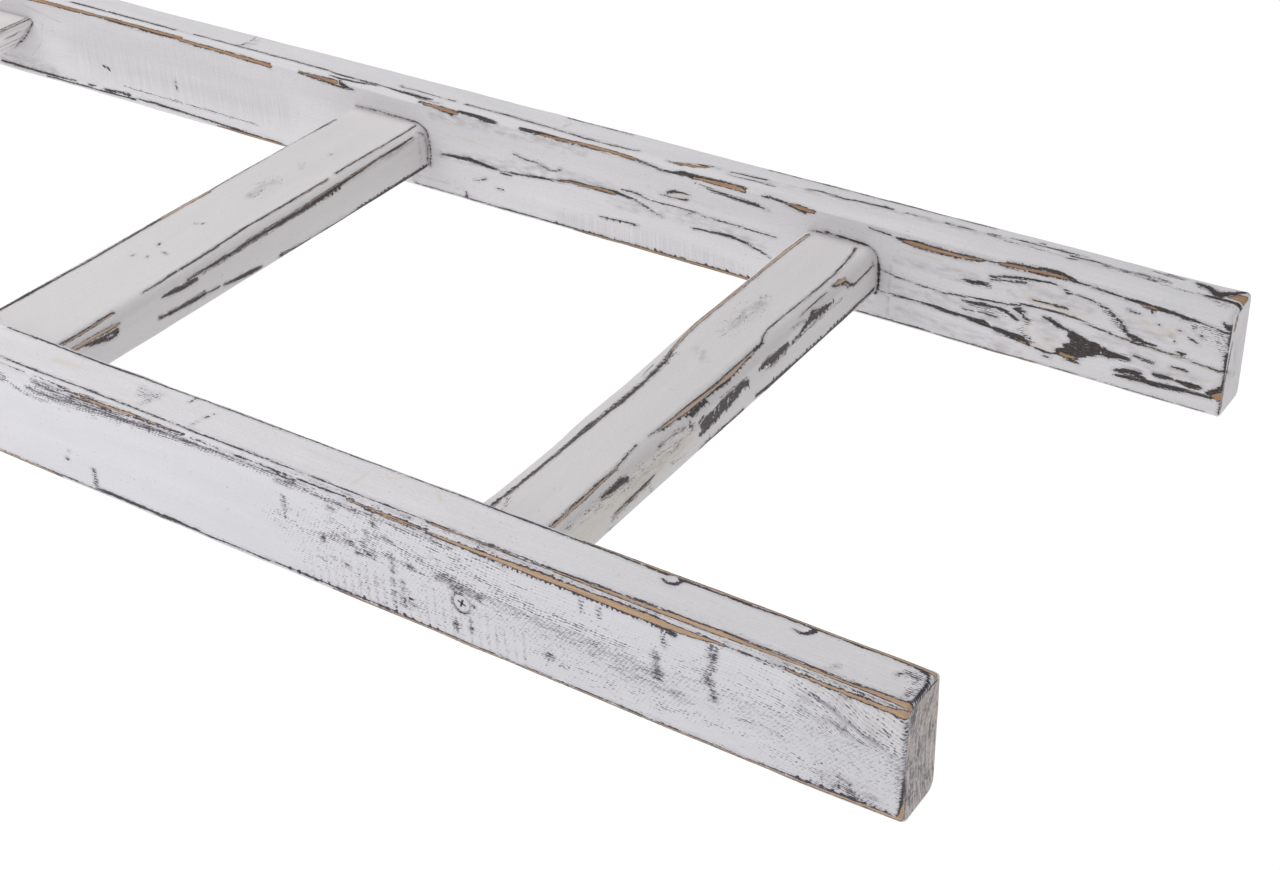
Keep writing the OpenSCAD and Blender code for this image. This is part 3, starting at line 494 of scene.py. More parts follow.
# How far rows of grain have sunk from level on the left rail's outer face, by place along it, and the share
# of that by height. The first pair is for its foot end, where the grain fans out round a knot.
LEFT_FLOWS = [
    ([(0, 17), (20, 13), (35, 6), (45, 3.5), (60, 1), (78, 0)],
     [(0, 0.2), (8, 0.3), (35, 0.8), (40, 1), (46, 1), (66, 0.7)]),
    ([(100, 9), (200, 9), (230, 8), (256, 6.4), (275, 4.4), (310, 1), (350, 0)],
     [(20, 0), (38, 1), (50, 0.8), (66, 0.2)]),
    ([(360, 0), (400, 1), (440, 3.2), (480, 6.5), (515, 9), (560, 10)],
     [(28, 0), (45, 0.8), (56, 1), (66, 1)]),
]

# The seat of a screw: its radius, its depth to the head's rim, the bore's radius and the slope of its cone
SEAT_RADIUS = 4.85
SEAT_DEPTH = 1.0
BORE_RADIUS = 2.5
SEAT_SLOPE = math.tan(math.radians(41))
# The grid round a screw: its pitch, and how far from the screw it is turned into rings
SCREW_PITCH = 0.97
SCREW_REACH = 8 * SCREW_PITCH
# The charcoal ring round a screw: its radius and half of its width
SCREW_RING = (5.3, 0.05)
# How near a screw no stroke is drawn by chance, and the least distance between two screws of a rail
SCREW_CLEAR = 20.0
SCREWS_APART = 50.0
# How far a rail's close ticks reach past a screw's, to the outline of the joint behind it
JOINT_REACH, JOINT_PITCH = 28.0, 1.2
# Steps along a rail where nothing is to be seen
PLAIN_STEP = 8.0
# How far from the foot end the photograph shows the rails
LEFT_SEEN_TO, RIGHT_SEEN_TO = 560, 960
# How far a dressed rung runs into each rail
RUNG_OVERLAP = 0.5

# How deep the wear goes, and how far the sides stray inwards from flat
BARE_DEPTH, DARK_DEPTH, DENT_DEPTH, BUMP_HEIGHT, STRAY = 0.35, 0.12, 0.7, 0.5, 0.22
# How much the reach of a worn corner and the depth of a sawn end vary
CORNER_STRAY, END_STRAY = 0.12, 0.12
# A hard stroke's field this far outside it is as good as none
OUTSIDE = -6.0
HARD_KINDS, SOFT_KINDS = "KTW", "HSGYCDB"
# How strong sparse dashes are beside full ones
SPARSE_SHARE = 0.5
# The grain attribute's third part is the bar's seed times this
SEED_STEP = 100.0

# The texture map gives its left part to a bar's four sides and the rest to its two ends, one above the other
SKIN_SHARE = 0.94
END_PLACE, END_SPAN = (0.01, 0.02), (0.04, 0.44)
# Sizes of the rings that close a bar's end, as shares of the end's outline
CAP_SHARES = (0.97, 0.92, 0.86, 0.8, 0.72, 0.64, 0.54, 0.42, 0.28, 0.14)


def spread(stops):
    """Ticks between stops of (place, step), each step an aim that a whole number of equal steps meets."""
    ticks = [stops[0][0]]
    for (start, step), (end, _) in zip(stops, stops[1:]):
        count = max(1, round((end - start) / step))
        ticks.extend(np.linspace(start, end, count + 1)[1:])
    return np.array(ticks)


def soft_noise(seed, x, y):
    """Smooth noise from -1 to 1 whose bumps are about one unit of x and of y wide."""
    size = 256
    table = np.random.default_rng(seed).uniform(-1, 1, (size, size))
    i, j = np.floor(x).astype(int), np.floor(y).astype(int)
    u, v = x - i, y - j
    u, v = u * u * (3 - 2 * u), v * v * (3 - 2 * v)

    def at(p, q):
        return table[(i + p) % size, (j + q) % size]

    return (at(0, 0) * (1 - u) + at(1, 0) * u) * (1 - v) + (at(0, 1) * (1 - u) + at(1, 1) * u) * v


def between(places, stops):
    """The values of stops of (place, value, value...) at the places given."""
    columns = list(zip(*stops))
    return [np.interp(places, columns[0], values) for values in columns[1:]]


def stroke_field(points, x, y, soft):
    """How deep each place lies in a stroke, in millimetres, or for a soft one from 1 at its spine to 0."""
    field = np.full(x.shape, 0.0 if soft else OUTSIDE)
    reach = max(r for _, _, r in points) - OUTSIDE
    xs, ys = [p[0] for p in points], [p[1] for p in points]
    near = (x > min(xs) - reach) & (x < max(xs) + reach) & (y > min(ys) - reach) & (y < max(ys) + reach)
    if not near.any():
        return field
    px, py = x[near], y[near]
    best = field[near]
    for (x0, y0, r0), (x1, y1, r1) in zip(points, points[1:]):
        span = max((x1 - x0) ** 2 + (y1 - y0) ** 2, 1e-6)
        t = np.clip(((px - x0) * (x1 - x0) + (py - y0) * (y1 - y0)) / span, 0, 1)
        away = np.hypot(px - x0 - t * (x1 - x0), py - y0 - t * (y1 - y0))
        radius = r0 + t * (r1 - r0)
        best = np.maximum(best, 1 - away / radius if soft else radius - away)
    field[near] = best
    return field


class Bar:
    """A length of timber, measured along it, across it from its near side, up it and round its sides."""

    def __init__(self, node, origin, along, across, start, end, width, height):
        self.node = node
        self.origin, self.along, self.across = (np.array(v, float) for v in (origin, along, across))
        self.start, self.end, self.width, self.height = start, end, width, height
        self.round = 2 * (width + height)
        self.side_starts = [0, height, height + width, 2 * height + width, self.round]

    def around(self, side, place):
        """How far round the bar a place on a side is. Places go up, or across from the near side."""
        start, end = self.side_starts[side:side + 2]
        return start + place if side in (NEAR, TOP) else end - place

    def section(self, around):
        """Across and up of places round the sharp-edged bar."""
        across = np.interp(around, self.side_starts, [0, 0, self.width, self.width, 0])
        up = np.interp(around, self.side_starts, [0, self.height, self.height, 0, 0])
        return across, up

    def place(self, a, o, z):
        """Places in metres in the part's frame."""
        spots = self.origin + a[..., None] * self.along + o[..., None] * self.across
        spots[..., 2] += z
        return spots * MM


def strokes_on(bar, side, strokes):
    """Strokes of one side as strokes on the unrolled bar."""
    return [(kind, [(a, bar.around(side, b), r) for a, b, r in points]) for kind, points in strokes]


def wear_fields(bar, strokes, a, s):
    """The field of each kind of stroke over a bar's skin, with white islands cut out of the wear."""
    fields = {kind: np.full(a.shape, OUTSIDE) for kind in HARD_KINDS}
    fields.update({kind: np.zeros(a.shape) for kind in SOFT_KINDS})
    for kind, points in strokes:
        for turn in (-bar.round, 0, bar.round):
            shifted = [(x, y + turn, r) for x, y, r in points]
            fields[kind] = np.maximum(fields[kind], stroke_field(shifted, a, s, kind in SOFT_KINDS))
    fields["H"] = np.maximum(fields["H"], SPARSE_SHARE * fields["S"]) * (fields["W"] < 0)
    for kind in "KT":
        fields[kind] = np.minimum(fields[kind], -fields["W"])
    return fields


def round_corner(across, up, corner, reaches):
    """Pulls the places near a sharp corner onto its worn outline."""
    reach_o, reach_z, power = (value[:, None] for value in reaches)
    sign_o, sign_z = (1 if corner[0] == 0 else -1), (1 if corner[1] == 0 else -1)
    u = 1 - np.abs(across - corner[0]) / reach_o
    v = 1 - np.abs(up - corner[1]) / reach_z
    inside = (u > 0) & (v > 0)
    u, v = np.where(inside, u, 1), np.where(inside, v, 0)
    norm = (u ** power + v ** power) ** (1 / power)
    return (np.where(inside, corner[0] + sign_o * reach_o * (1 - u / norm), across),
            np.where(inside, corner[1] + sign_z * reach_z * (1 - v / norm), up))


def ring_turns(da, dz, c):
    """How far round a screw the places of a square grid turn, evenly spaced along each of its squares."""
    x, z = np.stack([da, dz]) / np.where(c > 0, c, 1)
    eighth = math.pi / 4
    sideways = np.abs(x) >= np.abs(z)
    turn = np.where(sideways, z * eighth, 2 * eighth - x * eighth * np.sign(z))
    turn = np.where(sideways & (x < 0), math.pi - turn, turn)
    return np.where(~sideways & (z < 0), -2 * eighth + x * eighth, turn)


def sink_screws(a, s, screws):
    """Turns the grid round each screw into rings, and says how deep the screw's seat goes."""
    depth = np.zeros(a.shape)
    wall = SEAT_RADIUS - SCREW_PITCH
    for place, height in screws:
        da, dz = a - place, s - height
        c = np.maximum(np.abs(da), np.abs(dz))
        near = c < SCREW_REACH
        turn = ring_turns(da, dz, c)
        inner = np.interp(c, [0, wall, SEAT_RADIUS], [0, SEAT_RADIUS - 0.01, SEAT_RADIUS])
        ring = np.where(c < SEAT_RADIUS, inner, c)
        blend = np.clip((c - SEAT_RADIUS - SCREW_PITCH) / (SCREW_REACH - SEAT_RADIUS - SCREW_PITCH), 0, 1)
        a = np.where(near, place + (1 - blend) * ring * np.cos(turn) + blend * da, a)
        s = np.where(near, height + (1 - blend) * ring * np.sin(turn) + blend * dz, s)
        seat = SEAT_DEPTH + (SEAT_RADIUS - np.clip(ring, BORE_RADIUS, None)) / SEAT_SLOPE
        down = np.where(c <= wall + 1e-6, seat, np.interp(c, [wall, SEAT_RADIUS], [SEAT_DEPTH, 0]))
        depth = np.where(c < SEAT_RADIUS - 1e-6, down, depth)
    return a, s, depth


def draw_in(along, around, stops):
    """How far the sides have drawn in, by the distance from an end and the place round the bar."""
    amount, reach = between(around, stops)
    share = np.clip(1 - along / reach, 0, 1)
    return amount * (1 - np.sqrt(1 - share ** 2))


def wear_depth(fields, a, s, seed):
    """How far wear and unevenness have taken the surface below flat, in millimetres."""
    wide, fine = soft_noise(seed, a / 70, s / 11), soft_noise(seed + 1, a / 9, s / 2.5)
    stray = STRAY * (0.5 + 0.3 * wide + 0.2 * fine)
    bare = BARE_DEPTH * np.clip(0.5 + fields["T"], 0, 1)
    dark = DARK_DEPTH * np.clip(0.5 + fields["K"], 0, 1)
    dent, bump = (fields[kind] ** 2 * (3 - 2 * fields[kind]) for kind in "DB")
    return stray + bare + dark + DENT_DEPTH * dent - BUMP_HEIGHT * bump


def ring_normals(across, up):
    """Outward normals of each ring in its own plane."""
    turn_o = np.roll(across, -1, axis=1) - np.roll(across, 1, axis=1)
    turn_z = np.roll(up, -1, axis=1) - np.roll(up, 1, axis=1)
    size = np.maximum(np.hypot(turn_o, turn_z), 1e-9)
    return -turn_z / size, turn_o / size


def cap_rings(bar, ring, end_strokes):
    """Rings that close an end, shrinking to its middle, with their fields. The last one is a single place."""
    middle = np.array([bar.width / 2, bar.height / 2])[:, None]
    rings = [middle + share * (ring - middle) for share in CAP_SHARES] + [middle]
    spots = np.concatenate(rings, axis=1)
    return spots, wear_fields(bar, end_strokes, spots[0], spots[1])


def cells(grid):
    """The four corners of each cell of a grid, going round it."""
    return [grid[:-1, :-1], grid[1:, :-1], grid[1:, 1:], grid[:-1, 1:]]


def worn_outline(bar, along, s, corners, seed):
    """Across and up of places round the bar, with its four corners worn."""
    across, up = bar.section(s)
    spots = [(0, 0), (0, bar.height), (bar.width, bar.height), (bar.width, 0)]
    for i, (corner, stops) in enumerate(zip(spots, corners)):
        uneven = 1 + CORNER_STRAY * soft_noise(seed + 10 + i, along / 23, along * 0)
        reach_o, reach_z, power = between(along, stops)
        across, up = round_corner(across, up, corner, (reach_o * uneven, reach_z * uneven, power))
    return across, up


def material_fields(fields):
    """The fields that the material reads, as two vectors for each place."""
    return {"marks": np.stack([fields[kind].ravel() for kind in "KTH"], -1),
            "haze": np.stack([fields[kind].ravel() for kind in "GYC"], -1)}


def side_part(bar, along, around, a, s, lie, across, up, fields, seed):
    """The four sides as part of a skin."""
    index = np.arange(a.size).reshape(a.shape)
    share = SKIN_SHARE * (along - bar.start) / (bar.end - bar.start)
    grid = np.stack(np.meshgrid(share, around / bar.round, indexing="ij"), -1)
    return {
        "places": bar.place(a, across, up).reshape(-1, 3),
        "grain": np.stack([a, lie, np.full(a.shape, SEED_STEP * seed)], -1).reshape(-1, 3),
        "end_grain": np.zeros(a.size),
        "quads": np.stack(cells(np.concatenate([index, index[:, :1]], axis=1)), -1).reshape(-1, 4),
        "quad_maps": np.stack(cells(grid), 2).reshape(-1, 4, 2),
        "triangles": np.zeros((0, 3), int),
        "triangle_maps": np.zeros((0, 3, 2)),
        **material_fields(fields),
    }


def end_part(bar, which, ring, turns, edge, base, strokes, sawn, seed):
    """An end as part of a skin. Edge holds the numbers of the places round it, and base is its own first."""
    columns = len(edge)
    spots, fields = cap_rings(bar, ring, strokes)
    inward = END_STRAY * (1 + soft_noise(seed + 20 + which, spots[0] / 3, spots[1] / 3))
    shares = np.concatenate([np.full(columns, share) for share in CAP_SHARES] + [[0.0]])
    away = (1 - shares) * bar.width / 2
    at = bar.end - inward if which else bar.start + inward
    lie = np.concatenate([turns] * len(CAP_SHARES) + [[0.0]])

    rings = np.concatenate([edge[None], base + np.arange(columns * len(CAP_SHARES)).reshape(-1, columns)])
    rings = np.concatenate([rings, rings[:, :1]], axis=1)
    flat = np.concatenate([ring, spots[:, :-1]], axis=1).reshape(2, -1, columns)
    flat = np.concatenate([flat, flat[:, :, :1]], axis=2)
    ring_map = np.stack([SKIN_SHARE + END_PLACE[0] + END_SPAN[0] * flat[0] / bar.width,
                         0.5 * which + END_PLACE[1] + END_SPAN[1] * flat[1] / bar.height], -1)
    hub_map = [SKIN_SHARE + END_PLACE[0] + END_SPAN[0] / 2, 0.5 * which + END_PLACE[1] + END_SPAN[1] / 2]

    order = (1, 2, 3, 0) if which else (0, 3, 2, 1)
    quads, quad_maps = ([cells(grid)[i] for i in order] for grid in (rings, ring_map))
    fan = [rings[-1, :-1], rings[-1, 1:], np.full(columns, base + len(at) - 1)]
    fan_maps = [ring_map[-1, :-1], ring_map[-1, 1:], np.broadcast_to(hub_map, (columns, 2))]
    turn = -1 if which else 1
    return {
        "places": bar.place(at, *spots),
        "grain": np.stack([at + away if which else at - away, lie, np.full(at.shape, SEED_STEP * seed)], -1),
        "end_grain": np.full(len(at), sawn),
        "quads": np.stack(quads, -1).reshape(-1, 4),
        "quad_maps": np.stack(quad_maps, 2).reshape(-1, 4, 2),
        "triangles": np.stack(fan[::turn], -1),
        "triangle_maps": np.stack(fan_maps[::turn], 1),
        **material_fields(fields),
    }


def skin_mesh(name, parts, inside_out):
    """The parts of a bar's skin as one closed mesh, with what the material reads as attributes."""
    skin = {key: np.concatenate([part[key] for part in parts]) for key in parts[0]}
    if inside_out:
        for key in ("quads", "quad_maps", "triangles", "triangle_maps"):
            skin[key] = skin[key][:, ::-1]
    mesh = bpy.data.meshes.new(name)
    mesh.from_pydata(skin["places"].tolist(), [], skin["quads"].tolist() + skin["triangles"].tolist())
    mesh.polygons.foreach_set("use_smooth", np.ones(len(mesh.polygons), bool))
    maps = np.concatenate([skin["quad_maps"].ravel(), skin["triangle_maps"].ravel()])
    mesh.uv_layers.new(name="OFBake").data.foreach_set("uv", maps)
    for key in ("grain", "marks", "haze"):
        mesh.attributes.new(key, "FLOAT_VECTOR", "POINT").data.foreach_set("vector", skin[key].ravel())
    mesh.attributes.new("end_grain", "FLOAT", "POINT").data.foreach_set("value", skin["end_grain"])
    mesh.validate()
    return mesh


def dressed_bar(bar, name, along, around, corners, strokes, seed, screws=(), feet=None, end_strokes=((), ()),
                flows=(), sawn_shares=(1, 1)):
    """A bar's worn skin as a closed mesh, with its wear kept as attributes for the material."""
    a, s = np.meshgrid(along, around[:-1], indexing="ij")
    a, s, seat = sink_screws(a, s, screws)
    fields = wear_fields(bar, strokes, a, s)
    for place, height in screws:
        ring = SCREW_RING[1] - np.abs(np.hypot(a - place, s - height) - SCREW_RING[0])
        fields["K"] = np.maximum(fields["K"], ring)
    across, up = worn_outline(bar, along, s, corners, seed)
    out_o, out_z = ring_normals(across, up)
    depth = seat + wear_depth(fields, a, s, seed)
    if feet:
        depth = depth + draw_in(a - bar.start, s, feet[0]) + draw_in(bar.end - a, s, feet[1])
    across, up = across - out_o * depth, up - out_z * depth
    lie = s + sum(between(a, sink)[0] * between(s, share)[0] * (s < bar.height) for sink, share in flows)

    parts = [side_part(bar, along, around, a, s, lie, across, up, fields, seed)]
    index = np.arange(a.size).reshape(a.shape)
    for which, row in enumerate((0, -1)):
        base = sum(len(part["places"]) for part in parts)
        parts.append(end_part(bar, which, np.stack([across[row], up[row]]), s[row], index[row], base,
                              end_strokes[which], sawn_shares[which], seed))
    inside_out = np.dot(np.cross(bar.along, bar.across), (0, 0, 1)) < 0
    mesh = skin_mesh(name, parts, inside_out)
    piece = bpy.data.objects.new(name, mesh)
    bpy.context.scene.collection.objects.link(piece)
    mesh.materials.append(MATERIALS["painted_wood"])
    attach(piece, "root")
    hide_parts(bar.node)
    return piece


def rubbed_edges(rng, edges, start, end, gap):
    """Wear along edges that the photograph doesn't show: charcoal lines, some with bare wood inside."""
    strokes = []
    for edge in edges:
        a = start + rng.uniform(0, gap)
        while a < end - 8:
            length = min(rng.uniform(12, 110), end - a)
            b, r, drift = edge + rng.uniform(-2.2, 2.2), rng.uniform(0.35, 1.1), rng.uniform(-1.2, 1.2)
            kind = "T" if rng.random() < 0.45 else "K"
            strokes.append((kind, [(a, b, 0.2), (a + 0.3 * length, b + drift, r),
                                   (a + 0.7 * length, b + 0.5 * drift, 0.8 * r), (a + length, b, 0.2)]))
            a += length * rng.uniform(0.4, 1) + rng.uniform(0, gap)
    return strokes


def brushed_sides(rng, bar, sides, start, end, step):
    """Dry brushed rows, scratches and grey patches on sides that the photograph doesn't show."""
    strokes = []
    for side in sides:
        low, high = bar.side_starts[side] + 4, bar.side_starts[side + 1] - 4
        for a in np.arange(start, end - 30, step):
            a0, b0 = a + rng.uniform(0, step), rng.uniform(low, high)
            a1, b1 = min(a0 + rng.uniform(15, 70), end), b0 + rng.uniform(-2, 2)
            strokes.append(("H", [(a0, b0, 1), ((a0 + a1) / 2, b1, rng.uniform(2, 5)), (a1, b0, 1)]))
            b2 = rng.uniform(low, high)
            strokes.append(("K", [(a0, b2, 0.15), (a0 + rng.uniform(4, 30), b2 + rng.uniform(-1, 1), 0.45)]))
            strokes.append(("G", [(a1, b2, 2), (a1 + 8, b2 + 3, rng.uniform(1, 6))]))
    return strokes


class Wire:
    """An output of a material's nodes that adds, multiplies and steps like a number."""

    def __init__(self, tree, socket):
        self.tree, self.socket = tree, socket

    def maths(self, operation, *others, clamp=False):
        node = self.tree.nodes.new("ShaderNodeMath")
        node.operation, node.use_clamp = operation, clamp
        for slot, value in zip(node.inputs, (self, *others)):
            join(self.tree, value, slot)
        return Wire(self.tree, node.outputs[0])

    def __add__(self, other):
        return self.maths("ADD", other)

    def __sub__(self, other):
        return self.maths("SUBTRACT", other)

    def __mul__(self, other):
        return self.maths("MULTIPLY", other)

    def over(self, edge, soft):
        """0 below an edge and 1 above it, with a step as wide as soft."""
        return (self - edge).maths("MULTIPLY_ADD", 1 / soft, 0.5, clamp=True)

    def wave(self, pitch):
        """A sine wave from -1 to 1 that repeats every pitch."""
        return (self * (2 * math.pi / pitch)).maths("SINE")


def join(tree, value, slot):
    """Gives a node's input a wire or a plain value."""
    if isinstance(value, Wire):
        tree.links.new(value.socket, slot)
    else:
        slot.default_value = value


def new_material(name):
    material = bpy.data.materials.new(name)
    material.use_nodes = True
    tree = material.node_tree
    return material, tree, tree.nodes["Principled BSDF"]


def attribute(tree, name):
    """The three parts of a vector attribute."""
    node = tree.nodes.new("ShaderNodeAttribute")
    node.attribute_name = name
    split = tree.nodes.new("ShaderNodeSeparateXYZ")
    tree.links.new(node.outputs["Vector"], split.inputs[0])
    return [Wire(tree, output) for output in split.outputs]


def noise(tree, x, y, z, detail=2.0):
    """Noise of about 0.5, whose bumps are one unit of x, y and z across."""
    place = tree.nodes.new("ShaderNodeCombineXYZ")
    for slot, value in zip(place.inputs, (x, y, z)):
        join(tree, value, slot)
    node = tree.nodes.new("ShaderNodeTexNoise")
    node.inputs["Scale"].default_value = 1.0
    node.inputs["Detail"].default_value = detail
    tree.links.new(place.outputs[0], node.inputs["Vector"])
    return Wire(tree, node.outputs["Fac"])


def colour_mix(tree, share, first, second):
    """The first colour where share is 0 and the second where it is 1."""
    node = tree.nodes.new("ShaderNodeMix")
    node.data_type = "RGBA"
    node.clamp_factor = True
    for slot, value in zip((node.inputs[0], node.inputs[6], node.inputs[7]), (share, first, second)):
        join(tree, value, slot)
    return Wire(tree, node.outputs[2])


def screen_colour(red, green, blue):
    """A colour given as seen on a screen, from 0 to 255, as Blender's linear one."""
    parts = [v / 255 for v in (red, green, blue)]
    return [v / 12.92 if v <= 0.04045 else ((v + 0.055) / 1.055) ** 2.4 for v in parts] + [1.0]


PAINT_LIGHT = screen_colour(229, 227, 230)
PAINT_DARK = screen_colour(207, 205, 208)
# The grey that grime, and the painted shade beside and under the rungs and in the brushed grooves, mix
# towards
GRIME_AND_SHADE_GREY = screen_colour(168, 164, 170)
PAINT_YELLOW = screen_colour(206, 192, 160)
PAINT_WARM = screen_colour(219, 214, 211)
# The white paint as cool light shows it on the left rail's outer face: painted light
PAINT_COOL_LIGHT = screen_colour(231, 231, 241)
CHARCOAL_WARM = screen_colour(52, 46, 44)
CHARCOAL_BLUE = screen_colour(56, 53, 64)
CHARCOAL_WORN = screen_colour(88, 82, 84)
WOOD_LIGHT = screen_colour(198, 162, 128)
WOOD_DARK = screen_colour(146, 110, 82)
WOOD_GREYED = screen_colour(200, 180, 164)
WOOD_PALE = screen_colour(218, 190, 160)
END_LIGHT = screen_colour(206, 200, 200)
END_DARK = screen_colour(108, 100, 102)
END_BROWN = screen_colour(150, 128, 112)

# Distances from one brushed row to the next and from one slanting saw mark to the next
ROW_PITCH = 1.25
HATCH_PITCH = 2.3
# The end grain's heart in the part's frame, and how much flatter than circles its growth rings are
HEART_Y, HEART_Z, RING_FLATNESS = -150, 28, 0.36


def object_place(tree):
    """A place in the part's frame, in millimetres."""
    place = tree.nodes.new("ShaderNodeTexCoord")
    spot = tree.nodes.new("ShaderNodeSeparateXYZ")
    tree.links.new(place.outputs["Object"], spot.inputs[0])
    return [Wire(tree, output) * (1 / MM) for output in spot.outputs]


def give_surface(tree, shader, colour, relief):
    """Gives a material its colour and its relief, which is in millimetres."""
    bump = tree.nodes.new("ShaderNodeBump")
    bump.inputs["Distance"].default_value = MM
    tree.links.new(relief.socket, bump.inputs["Height"])
    tree.links.new(bump.outputs[0], shader.inputs["Normal"])
    tree.links.new(colour.socket, shader.inputs["Base Color"])


class Grain:
    """What a dressed bar's attributes say, with the noises along its grain that several looks share."""

    def __init__(self, tree):
        self.tree = tree
        self.a, self.s, self.seed = attribute(tree, "grain")
        self.dark, self.bare, self.dash = attribute(tree, "marks")
        self.grey, self.stain, self.comb = attribute(tree, "haze")
        self.end = attribute(tree, "end_grain")[0]
        # The left rail's seed is 1, the right rail's is 2 and the rungs' are higher
        self.on_left = (self.seed * -1).over(-1.5 * SEED_STEP, 1)
        self.on_rung = self.seed.over(2.5 * SEED_STEP, 1)
        self.crumbs = self.noise(2.4, 0.9, 7, 3.0)
        self.tone = self.noise(80, 12, 13)
        self.brush = self.noise(40, 0.7, 19)
        self.sway = self.noise(25, 6, 23) * 8
        self.mottle = self.noise(9, 3, 53, 4.0)
        # 1 from the upper part of the left rail's outer face on, and 0 below it and on the other bars
        self.upper = self.s.over(45, 10) * self.on_left
        self.rows = (self.s + self.sway * 0.25).wave(ROW_PITCH) * (self.on_rung * -0.8 + 1)
        self.brushed = self.dash.maths("POWER", 0.6)
        self.beside = self.dark.maths("MAXIMUM", self.bare).maths("MULTIPLY_ADD", 0.4, 1.0, clamp=True)
        self.weave = self.woven()

    def noise(self, long, wide, offset, detail=2.0):
        """Noise with bumps so long and wide, in millimetres. Each has an offset of its own."""
        return noise(self.tree, self.a * (1 / long), self.s * (1 / wide), self.seed + offset, detail)

    def woven(self):
        """Brushed rows and threads, crossed by saw marks on the left rail. They give the dashes and the
        relief, and the paint's colour uses them for painted shade in the grooves.
        """
        hatch = (self.a + self.s * 0.5 + self.sway * 0.3).wave(HATCH_PITCH)
        threads = self.noise(9, 0.6, 61)
        gaps = (hatch * 0.5 - 0.5) * self.on_left * (self.comb * 0.5 + 0.45) + 1
        return (self.rows * 0.42 + 0.5 + (threads - 0.5) * 1.9) * gaps


def worn_through(grain):
    """Where charcoal shows and where bare wood does, with ragged edges and drips that look like teeth."""
    fuzz = grain.noise(0.8, 0.6, 83, 1.0)
    fuzziness = grain.on_rung * 1.2 + 1.5 - grain.on_left * 0.8
    streaks = grain.noise(14, 1.3, 0, 3.0)
    ragged = (streaks - 0.5) * 2.8 + (grain.crumbs - 0.5) * 2.2 + (fuzz - 0.5) * fuzziness + 0.2
    lengths = grain.noise(4, 9, 71)
    turns = grain.a * (grain.upper + grain.on_rung * 0.3 + 1) * (2 * math.pi / SAW_PITCH)
    swing = (turns + grain.sway + lengths * 4 + grain.s * 0.5).maths("SINE")
    drips = (swing * 0.5 + 0.5).maths("POWER", 2.0) * (lengths * 7.5 - 3) * (grain.on_rung * 0.5 + 1)
    teeth = grain.comb.maths("MULTIPLY", 2.0, clamp=True) * drips
    rim = (grain.bare + ragged + 0.45).over(0, 0.3)
    skipped = grain.brushed * grain.upper * (grain.rows * 0.5 + 0.5)
    charcoal = (grain.dark + ragged + teeth - skipped * 2.8).over(0.05, 0.4).maths("MAXIMUM", rim)
    return charcoal, (grain.bare + ragged * 0.5).over(0, 0.25)


def brush_dashes(grain):
    """Where the brush skipped and left the undercoat bare in dashes."""
    flakes = grain.noise(1.8, 0.55, 31, 1.0)
    clumps = grain.noise(9, 2.6, 37)
    skipped = flakes + (clumps - 0.5) * 0.6 + grain.weave * grain.brushed * 0.42
    return (skipped + grain.dash * 0.08 + grain.beside * 0.1).over(0.815, 0.09)


def paint_colour(grain):
    """White paint with brush strokes, grey haze and yellow stains, with painted shade in the brushed grooves
    and beside and under the rungs, and painted cool light on the left rail's outer face.
    """
    tree, mottle = grain.tree, grain.mottle
    # Across the brushed rows the grooves are painted darker and the ridges lighter: painted shade and light
    brushed = (grain.weave - 0.5) * (grain.brushed + grain.on_left * 0.15) * 1.4
    share = grain.tone * 0.7 + grain.brush * 0.5 + grain.crumbs * 0.9 - 0.5 - brushed
    paint = colour_mix(tree, share, PAINT_DARK, PAINT_LIGHT)
    paint = colour_mix(tree, grain.on_rung * 0.4, paint, PAINT_WARM)
    # The left rail's outer face is painted cooler and a little lighter: painted cool light on that face
    outer_face_cool_light = (grain.s * -1).over(-67, 2) * grain.on_left
    paint = colour_mix(tree, outer_face_cool_light * 0.3, paint, PAINT_COOL_LIGHT)
    smear = mottle.over(0.52, 0.3) * 0.85
    saw_lines = grain.noise(1.1, 60, 97).over(0.46, 0.3) * 0.42
    across = grain.comb.maths("MULTIPLY", 3.0, clamp=True)
    # Grey haze strokes are grime on open faces and painted shade beside and under the rungs
    haze = grain.grey.maths("MULTIPLY", 1.5, clamp=True) * (smear + (saw_lines - smear) * across)
    # Grey fringes round the wear are grime, and the grey that follows the brushed rows is painted shade in
    # their grooves
    haze = haze + grain.beside * mottle.over(0.46, 0.26) * 0.95 + grain.weave * grain.brushed * 0.3
    paint = colour_mix(tree, haze * 0.6 + grain.on_rung * 0.07, paint, GRIME_AND_SHADE_GREY)
    stain = grain.stain.maths("MULTIPLY", 1.2, clamp=True) * mottle.over(0.5, 0.4) * 0.5
    return colour_mix(tree, stain, paint, PAINT_YELLOW)


def charcoal_colour(grain):
    """The undercoat, bluer on the left rail."""
    under = colour_mix(grain.tree, grain.on_left, CHARCOAL_WARM, CHARCOAL_BLUE)
    return colour_mix(grain.tree, (grain.crumbs + grain.on_rung * 0.12).over(0.6, 0.3), under, CHARCOAL_WORN)


def wood_colour(grain):
    """Bare wood with its grain, greyed on the rungs and pale on the left rail."""
    tree = grain.tree
    wood = colour_mix(tree, grain.noise(30, 0.6, 41, 3.0).over(0.48, 0.35), WOOD_LIGHT, WOOD_DARK)
    wood = colour_mix(tree, grain.crumbs.over(0.64, 0.12) * 0.55, wood, CHARCOAL_WORN)
    wood = colour_mix(tree, grain.on_rung * 0.7, wood, WOOD_GREYED)
    return colour_mix(tree, grain.on_left * 0.45, wood, WOOD_PALE)


